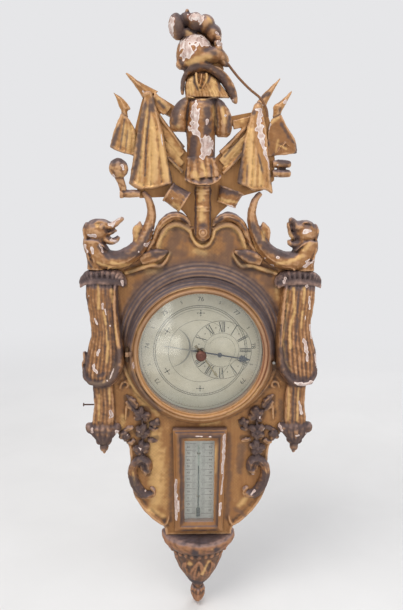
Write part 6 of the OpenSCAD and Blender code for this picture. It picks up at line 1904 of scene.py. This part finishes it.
def make_dial_print():
    """Circles, Roman numerals, crosses, figures and marks of the dial."""
    depth = DIAL_FACE + PRINT_LIFT
    sizes = sizes_now()
    outer = sizes.scale_radius / MM
    ring_x, ring_z, ring_r = 36.0, 2.0, sizes.numeral_radius / MM
    z = DIAL_Z
    lines = [
        hoop(outer - 1.6, 0.7, depth, z=z, segments=200), hoop(outer + 1.6, 0.7, depth, z=z, segments=200),
        hoop(outer - 5.5, 0.4, depth, z=z, start=-75, sweep=150),
        hoop(54, 0.5, depth, z=z, start=100, sweep=300), hoop(ring_r + 10.8, 0.7, depth, ring_x, z + ring_z),
        hoop(ring_r - 10.5, 0.5, depth, ring_x, z + ring_z),
        hoop(ring_r - 17, 0.4, depth, ring_x, z + ring_z, start=-60, sweep=210),
        hoop(99.8, 0.4, depth, z=z, segments=200)]
    numerals = ["I", "II", "III", "IV", "V", "VI", "VII", "VIII", "IX", "X", "XI", "XII"]
    low, high = ring_r - 8.3, ring_r + 8.8
    for k, word in enumerate(numerals):
        middle = math.radians(30 * (k + 1))
        widths = {"I": 2.6, "V": 5.6, "X": 5.6}
        total = sum(widths[c] for c in word)
        at = -total / 2
        for c in word:
            width = widths[c]
            bars = {"I": [(0, 0, 1.5)], "V": [(-0.36, 0.02, 1.5), (0.36, 0.02, 0.6)],
                    "X": [(-0.4, 0.4, 1.5), (0.4, -0.4, 0.6)]}[c]
            for top, foot, wide in bars:
                ends = []
                for share, r in ((top, high), (foot, low)):
                    t = at + width / 2 + share * width
                    ends += [ring_x + r * math.sin(middle) + t * math.cos(middle),
                             z + ring_z + r * math.cos(middle) - t * math.sin(middle)]
                lines.append(stroke(*ends, wide, depth))
            at += width
        for r in (low - 0.4, high + 0.4):
            lines.append(hoop(r, 0.45, depth, ring_x, z + ring_z, 30 * (k + 1) - math.degrees(total / 2 / r),
                              2 * math.degrees(total / 2 / r), 8))
        between = math.radians(30 * k + 15)
        lines.append(
            hoop(
                0.55, 1.0, depth, ring_x + ring_r * math.sin(between),
                z + ring_z + ring_r * math.cos(between), segments=8))
    for angle in (0, 180, 238, 302):
        a = math.radians(angle)
        out, over = np.array([math.sin(a), math.cos(a)]), np.array([math.cos(a), -math.sin(a)])
        middle = np.array([CROSS_R * math.sin(a), z + CROSS_R * math.cos(a)])
        for arm in (out * 4.2, over * 5.6):
            lines.append(stroke(*(middle - arm), *(middle + arm), 0.7, depth))
            lines += [hoop(0.5, 1.0, depth, *(middle + s * arm), segments=8) for s in (-1, 1)]
        lines.append(hoop(1.0, 1.2, depth, *middle, segments=12))
    for k in range(13):
        angle = -126 + 21 * k
        a = math.radians(angle)
        word, size = ("5", 7.5) if k % 2 else (str(73 + k // 2), 10.5)
        lines.append(
            text_shell(word, size, FIGURE_R * math.sin(a), z + FIGURE_R * math.cos(a), depth, angle))
    printed = object_of("dial_print", mesh_of("dial_print", lines))
    carried(printed, "dial_ink", "case")
    centre = (0.0, -depth * MM, DIAL_Z * MM)
    repeated("dial_marks", "RingOfUnits", [stroke(0, -1.3, 0, 1.3, 0.42, 0)], "dial_ink",
             Count=sizes.scale_marks, Radius=outer * MM, Centre=centre)
    repeated("dial_rim_marks", "RingOfUnits", [stroke(0, -1.5, 0, 1.5, 0.5, 0)], "faint_ink",
             Count=126, Radius=98.2 * MM, Centre=centre)


def make_thermometer_print():
    """Marks and figures beside the thermometer's tube."""
    depth = SCALE_FACE + PRINT_LIFT
    low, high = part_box("thermometer_scale")
    left, right = 1000 * low.x + 4.5, 1000 * high.x - 4.5
    foot, top = 1000 * low.z + 12, 1000 * high.z - 12
    pitch = (top - foot) / 55
    for name, x0, x1, count, step in (("thermometer_fine_marks", -12.5, -7.0, 56, pitch),
                                      ("thermometer_fine_marks_right", 4.5, 10.0, 56, pitch),
                                      ("thermometer_long_marks", left, -6.0, 12, 5 * pitch),
                                      ("thermometer_long_marks_right", 3.5, right, 12, 5 * pitch)):
        repeated(name, "RowOfUnits", [stroke(x0, 0, x1, 0, 0.4 if count > 20 else 0.6, 0)], "dial_ink",
                 Count=count, Start=(0.0, -depth * MM, foot * MM), Step=(0.0, 0.0, step * MM))
    shells = []
    for k in range(11):
        z = foot + (k + 0.5) * 5 * pitch
        shells.append(text_shell(str(abs(10 * k - 20)), 5.6, left + 4.5, z, depth))
        shells.append(text_shell(str(abs(8 * k - 20)), 5.6, right - 4.5, z, depth))
    made = object_of("thermometer_figures", mesh_of("thermometer_figures", shells))
    carried(made, "dial_ink", "case")


def make_knob():
    """The turned knob on the glass, with its spindle."""
    low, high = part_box("set_knob")
    radius = 500 * (high.x - low.x)
    front = -1000 * low.y
    back = DRUM_FACE + 3.8
    profile = [
        (MIDDLE_R, back - 14), (1.95, back - 14), (1.95, back), (radius - 2, back), (radius - 1.2, back + 2),
        (radius - 3.2, back + 4), (radius - 1.2, back + 6), (radius, back + 8), (radius - 0.4, back + 9.6),
        (radius - 1.6, back + 11), (radius - 3.4, back + 12.2), (radius - 4.6, front - 0.6),
        (2.2, front - 1.4), (1.4, front - 0.4), (MIDDLE_R, front)]
    made = rounded(object_of("turned_knob", mesh_of("turned_knob", [lathe(profile, 0, DIAL_Z, 64)])))
    carried(made, "knob", "setter", ["set_knob"])


def make_thread():
    """The thread's length over the pulley, and the two that stretch down to the float and the weight."""
    low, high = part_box("silk_thread")
    thin = 500 * (high.y - low.y)
    depth = -500 * (low.y + high.y)
    run = 1000 * high.x - thin
    over = [
        (run * math.cos(a), DIAL_Z + run * math.sin(a), depth, thin) for a in np.linspace(0, math.pi, 25)]
    lengths = [("thread_over_pulley", over, None, 0)]
    for name, x, body, node in (("thread_to_float", run, "float", "glass_float"),
                                ("thread_to_weight", -run, "weight", "counterweight")):
        end = 1000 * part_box(node)[1].z
        lengths.append((name, [(x, z, depth, thin) for z in np.linspace(DIAL_Z, end, 14)], body, end))
    for name, path, body, end in lengths:
        made = rounded(object_of(name, mesh_of(name, [tube(path, 10)])))
        made.data.materials.append(finish_of("silk"))
        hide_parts("silk_thread")
        if body is None:
            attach(made, "case")
        else:
            x = path[0][0] * MM
            end * MM
            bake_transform(made)


CARRIED_OVER = {
    "board_gilding": ["trophy_board"],
    "dark_gilding": ["curved_rod"],
    "case_wood": ["back_case", "tube_blocks"],
    "door_wood": ["rear_door", "turn_button"],
    "dial_silver": ["dial_plate"],
    "scale_silver": ["thermometer_scale"],
    "glass": ["bezel_glass", "thermometer_glass"],
    "tube_glass": ["siphon_tube", "thermometer_tube", "glass_float"],
    "dull_brass": ["bezel_hinge", "bezel_catch"],
    "brass": ["arbor_pulley", "arbor_bridge", "counterweight", "thermometer_staples"],
    "pale_brass": ["set_hand"],
    "worn_hand": ["indicator_hand"],
    "dull_steel": ["hand_arbor", "pivot_screws", "door_pins"],
    "mercury": ["mercury_column"],
    "thermometer_mercury": ["thermometer_mercury"],
    "iron": ["hanging_plate", "wood_screws", "drop_nail"],
}


def dress_construction():
    """Gives the construction's own nodes that stay their finishes."""
    for finish, nodes in CARRIED_OVER.items():
        for node in nodes:
            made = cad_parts[node]
            made.data.materials.clear()
            made.data.materials.append(finish_of(finish))


# Stage

CAMERA_PLACE = (-0.03872, -1.02998, -0.05132)
CAMERA_RIGHT = (0.999225, -0.038143, 0.009756)
CAMERA_AHEAD = (0.039318, 0.979639, -0.196879)
CAMERA_LENS = 35.8425
SENSOR_WIDTH = 36
FLOOR_REACH = 9.0
FLOOR_DROP = 0.003
BACKGROUND = colour_of(230, 230, 232)


def make_camera():
    """The camera that the photograph's perspective was fitted to."""
    data = bpy.data.cameras.new("front_camera")
    data.sensor_width = SENSOR_WIDTH
    data.lens = CAMERA_LENS
    data.clip_start = 0.05
    data.clip_end = 30
    made = object_of("front_camera", data)
    ahead = Vector(CAMERA_AHEAD).normalized()
    right = (Vector(CAMERA_RIGHT) - ahead * Vector(CAMERA_RIGHT).dot(ahead)).normalized()
    up = right.cross(ahead)
    turn = Matrix((right, up, -ahead)).transposed().to_4x4()
    made.matrix_world = Matrix.Translation(CAMERA_PLACE) @ turn
    bpy.context.scene.camera = made


def lamp(name, place, aim, size, power, tone=(1.0, 1.0, 1.0)):
    """A rectangular lamp at a place, aimed at another."""
    data = bpy.data.lights.new(name, "AREA")
    data.shape = "RECTANGLE"
    data.size, data.size_y = size
    data.energy = power
    data.color = tone
    made = object_of(name, data)
    made.location = place
    made.rotation_euler = (Vector(aim) - Vector(place)).to_track_quat("-Z", "Y").to_euler()


# Panes reflected in the dial's glass: x, z, width, height and strength
WINDOW_PANES = [
    (-0.081, -0.584, 0.034, 0.12, 7), (-0.076, -0.702, 0.1, 0.078, 6.5), (-0.112, -0.618, 0.07, 0.05, 6),
    (-0.155, -0.70, 0.08, 0.3, 2.6)]


def make_stage():
    """Floor that fades into the ground, even sky, two lamps, a light behind and the panes of a window."""
    scene = bpy.context.scene
    scene.view_settings.view_transform = "Standard"
    s = Shader("pale_floor")
    field = s.noise(220, 4)
    tone = s.mix(colour_of(225, 224, 223), colour_of(222, 221, 220), field.step(0.35, 0.65))
    surface = s.principled(Base_Color=tone, Roughness=0.85)
    away = ((s.x * s.x + s.y * s.y).root()).step(700.0, 2300.0)
    haze = s.node("ShaderNodeEmission", {}, 0, s.colour(BACKGROUND))
    material = s.finish(s.node("ShaderNodeMixShader", {}, 0, away, surface, haze))
    mesh = bpy.data.meshes.new("floor")
    reach, z = FLOOR_REACH, CAD_BOX[0].z - FLOOR_DROP
    mesh.from_pydata([(-reach, -reach, z), (reach, -reach, z), (reach, reach, z), (-reach, reach, z)], [],
                     [(0, 1, 2, 3)])
    floor = object_of("floor", mesh)
    floor.data.materials.append(material)
    world = bpy.data.worlds.new("soft_sky")
    scene.world = world
    world.use_nodes = True
    tree = world.node_tree
    tree.nodes.clear()
    output = tree.nodes.new("ShaderNodeOutputWorld")
    seen, lit = tree.nodes.new("ShaderNodeBackground"), tree.nodes.new("ShaderNodeBackground")
    seen.inputs[0].default_value = BACKGROUND + (1,)
    lit.inputs[0].default_value = (0.96, 0.97, 1.0, 1)
    lit.inputs[1].default_value = 0.62
    path = tree.nodes.new("ShaderNodeLightPath")
    either = tree.nodes.new("ShaderNodeMath")
    either.operation = "MAXIMUM"
    tree.links.new(path.outputs["Is Camera Ray"], either.inputs[0])
    tree.links.new(path.outputs["Is Transmission Ray"], either.inputs[1])
    mixed = tree.nodes.new("ShaderNodeMixShader")
    tree.links.new(either.outputs[0], mixed.inputs[0])
    tree.links.new(lit.outputs[0], mixed.inputs[1])
    tree.links.new(seen.outputs[0], mixed.inputs[2])
    tree.links.new(mixed.outputs[0], output.inputs[0])
    power = sizes_now().lamp
    lamp("sky_lamp", (-0.9, -1.3, 1.9), (0, 0, -0.3), (1.6, 1.2), power, (1.0, 0.98, 0.95))
    lamp("fill_lamp", (1.6, -1.4, 0.2), (0, 0, -0.35), (1.2, 1.6), power * 0.3, (0.97, 0.98, 1.0))
    for k, (x, z, wide, tall, strength) in enumerate(WINDOW_PANES):
        lamp(
            f"window_pane_{k + 1}", (x, -1.5, z), (x, 0, z), (wide, tall), strength * wide * tall,
            (1, 0.96, 0.91))
    lamp("back_lamp", (0.9, 1.9, 1.2), (0, 0, -0.3), (1.4, 1.4), power * 0.4)


# Operators and panel

SIDES = (-1, 1)


class BAROMETER_OT_stage(bpy.types.Operator):
    """Camera, lamps, sky and floor"""

    bl_idname = "barometer.stage"
    bl_label = "Stage"

    def execute(self, context):
        make_camera()
        make_stage()
        return {"FINISHED"}


class BAROMETER_OT_construction(bpy.types.Operator):
    """Finishes of the case, tube, movement and glass"""

    bl_idname = "barometer.construction"
    bl_label = "Construction"

    def execute(self, context):
        dress_construction()
        return {"FINISHED"}


class BAROMETER_OT_helmet(bpy.types.Operator):
    """Helmet with its plume and hair"""

    bl_idname = "barometer.helmet"
    bl_label = "Helmet"

    def execute(self, context):
        make_helmet()
        make_plume()
        make_lining()
        return {"FINISHED"}


class BAROMETER_OT_cuirass(bpy.types.Operator):
    """Cuirass, skirt and cannon"""

    bl_idname = "barometer.cuirass"
    bl_label = "Cuirass"

    def execute(self, context):
        make_cuirass()
        make_cannon()
        return {"FINISHED"}


class BAROMETER_OT_banners(bpy.types.Operator):
    """Hanging banners and lances"""

    bl_idname = "barometer.banners"
    bl_label = "Banners"

    def execute(self, context):
        make_banners()
        make_lances()
        return {"FINISHED"}


class BAROMETER_OT_arms(bpy.types.Operator):
    """Field drums, mace and gun"""

    bl_idname = "barometer.arms"
    bl_label = "Arms"

    def execute(self, context):
        make_drums()
        make_arms()
        return {"FINISHED"}


class BAROMETER_OT_dolphins(bpy.types.Operator):
    """Dolphins at the shoulders"""

    bl_idname = "barometer.dolphins"
    bl_label = "Dolphins"

    def execute(self, context):
        for side in SIDES:
            make_dolphin(side)
        return {"FINISHED"}


class BAROMETER_OT_scrolls(bpy.types.Operator):
    """Horns and shoulder leaves"""

    bl_idname = "barometer.scrolls"
    bl_label = "Scrolls"

    def execute(self, context):
        for side in SIDES:
            make_scroll(side)
        return {"FINISHED"}


class BAROMETER_OT_drops(bpy.types.Operator):
    """Side drops with collar, drapery and bud"""

    bl_idname = "barometer.drops"
    bl_label = "Drops"

    def execute(self, context):
        for side in SIDES:
            make_drop(side)
        return {"FINISHED"}


class BAROMETER_OT_garlands(bpy.types.Operator):
    """Flowers, leaves and scrolls"""

    bl_idname = "barometer.garlands"
    bl_label = "Garlands"

    def execute(self, context):
        for side in SIDES:
            make_garland(side)
        return {"FINISHED"}


class BAROMETER_OT_panel(bpy.types.Operator):
    """Carved front panel"""

    bl_idname = "barometer.panel"
    bl_label = "Panel"

    def execute(self, context):
        make_panel()
        return {"FINISHED"}


class BAROMETER_OT_drum(bpy.types.Operator):
    """Turned drum and bezel"""

    bl_idname = "barometer.drum"
    bl_label = "Drum"

    def execute(self, context):
        make_drum()
        make_bezel()
        return {"FINISHED"}


class BAROMETER_OT_pendant(bpy.types.Operator):
    """Leaf pendant at the foot"""

    bl_idname = "barometer.pendant"
    bl_label = "Pendant"

    def execute(self, context):
        make_pendant()
        return {"FINISHED"}


class BAROMETER_OT_thread(bpy.types.Operator):
    """Silk thread from the pulley to the float and the weight"""

    bl_idname = "barometer.thread"
    bl_label = "Thread"

    def execute(self, context):
        make_thread()
        return {"FINISHED"}


class BAROMETER_OT_dial(bpy.types.Operator):
    """Printed dial and set knob"""

    bl_idname = "barometer.dial"
    bl_label = "Dial"

    def execute(self, context):
        make_dial_print()
        make_knob()
        return {"FINISHED"}


class BAROMETER_OT_thermometer(bpy.types.Operator):
    """Thermometer frame and scale"""

    bl_idname = "barometer.thermometer"
    bl_label = "Thermometer"

    def execute(self, context):
        make_thermometer()
        make_thermometer_print()
        return {"FINISHED"}


STEPS = [
    BAROMETER_OT_stage, BAROMETER_OT_construction, BAROMETER_OT_helmet, BAROMETER_OT_cuirass,
    BAROMETER_OT_banners, BAROMETER_OT_arms, BAROMETER_OT_dolphins, BAROMETER_OT_scrolls, BAROMETER_OT_drops,
    BAROMETER_OT_garlands, BAROMETER_OT_panel, BAROMETER_OT_drum, BAROMETER_OT_pendant, BAROMETER_OT_thread,
    BAROMETER_OT_dial, BAROMETER_OT_thermometer]


class BAROMETER_PT_tools(bpy.types.Panel):
    """Lists the steps that build the barometer."""

    bl_label = "Barometer"
    bl_idname = "BAROMETER_PT_tools"
    bl_space_type = "VIEW_3D"
    bl_region_type = "UI"
    bl_category = "Barometer"

    def draw(self, context):
        for name in BarometerSizes.__annotations__:
            self.layout.prop(sizes_now(), name)
        for name in BarometerColours.__annotations__:
            self.layout.prop(colours_now(), name)
        for step in STEPS:
            self.layout.operator(step.bl_idname)


CLASSES = [BarometerColours, BarometerSizes, *STEPS, BAROMETER_PT_tools]


def register():
    for made in CLASSES:
        bpy.utils.register_class(made)
    setattr(bpy.types.Scene, COLOUR_GROUP, bpy.props.PointerProperty(type=BarometerColours))
    setattr(bpy.types.Scene, SIZE_GROUP, bpy.props.PointerProperty(type=BarometerSizes))


def unregister():
    delattr(bpy.types.Scene, COLOUR_GROUP)
    delattr(bpy.types.Scene, SIZE_GROUP)
    for made in reversed(CLASSES):
        bpy.utils.unregister_class(made)


def main():
    register()
    for step in STEPS:
        getattr(bpy.ops.barometer, step.bl_idname.split(".")[1])()


if __name__ == "__main__":
    main()
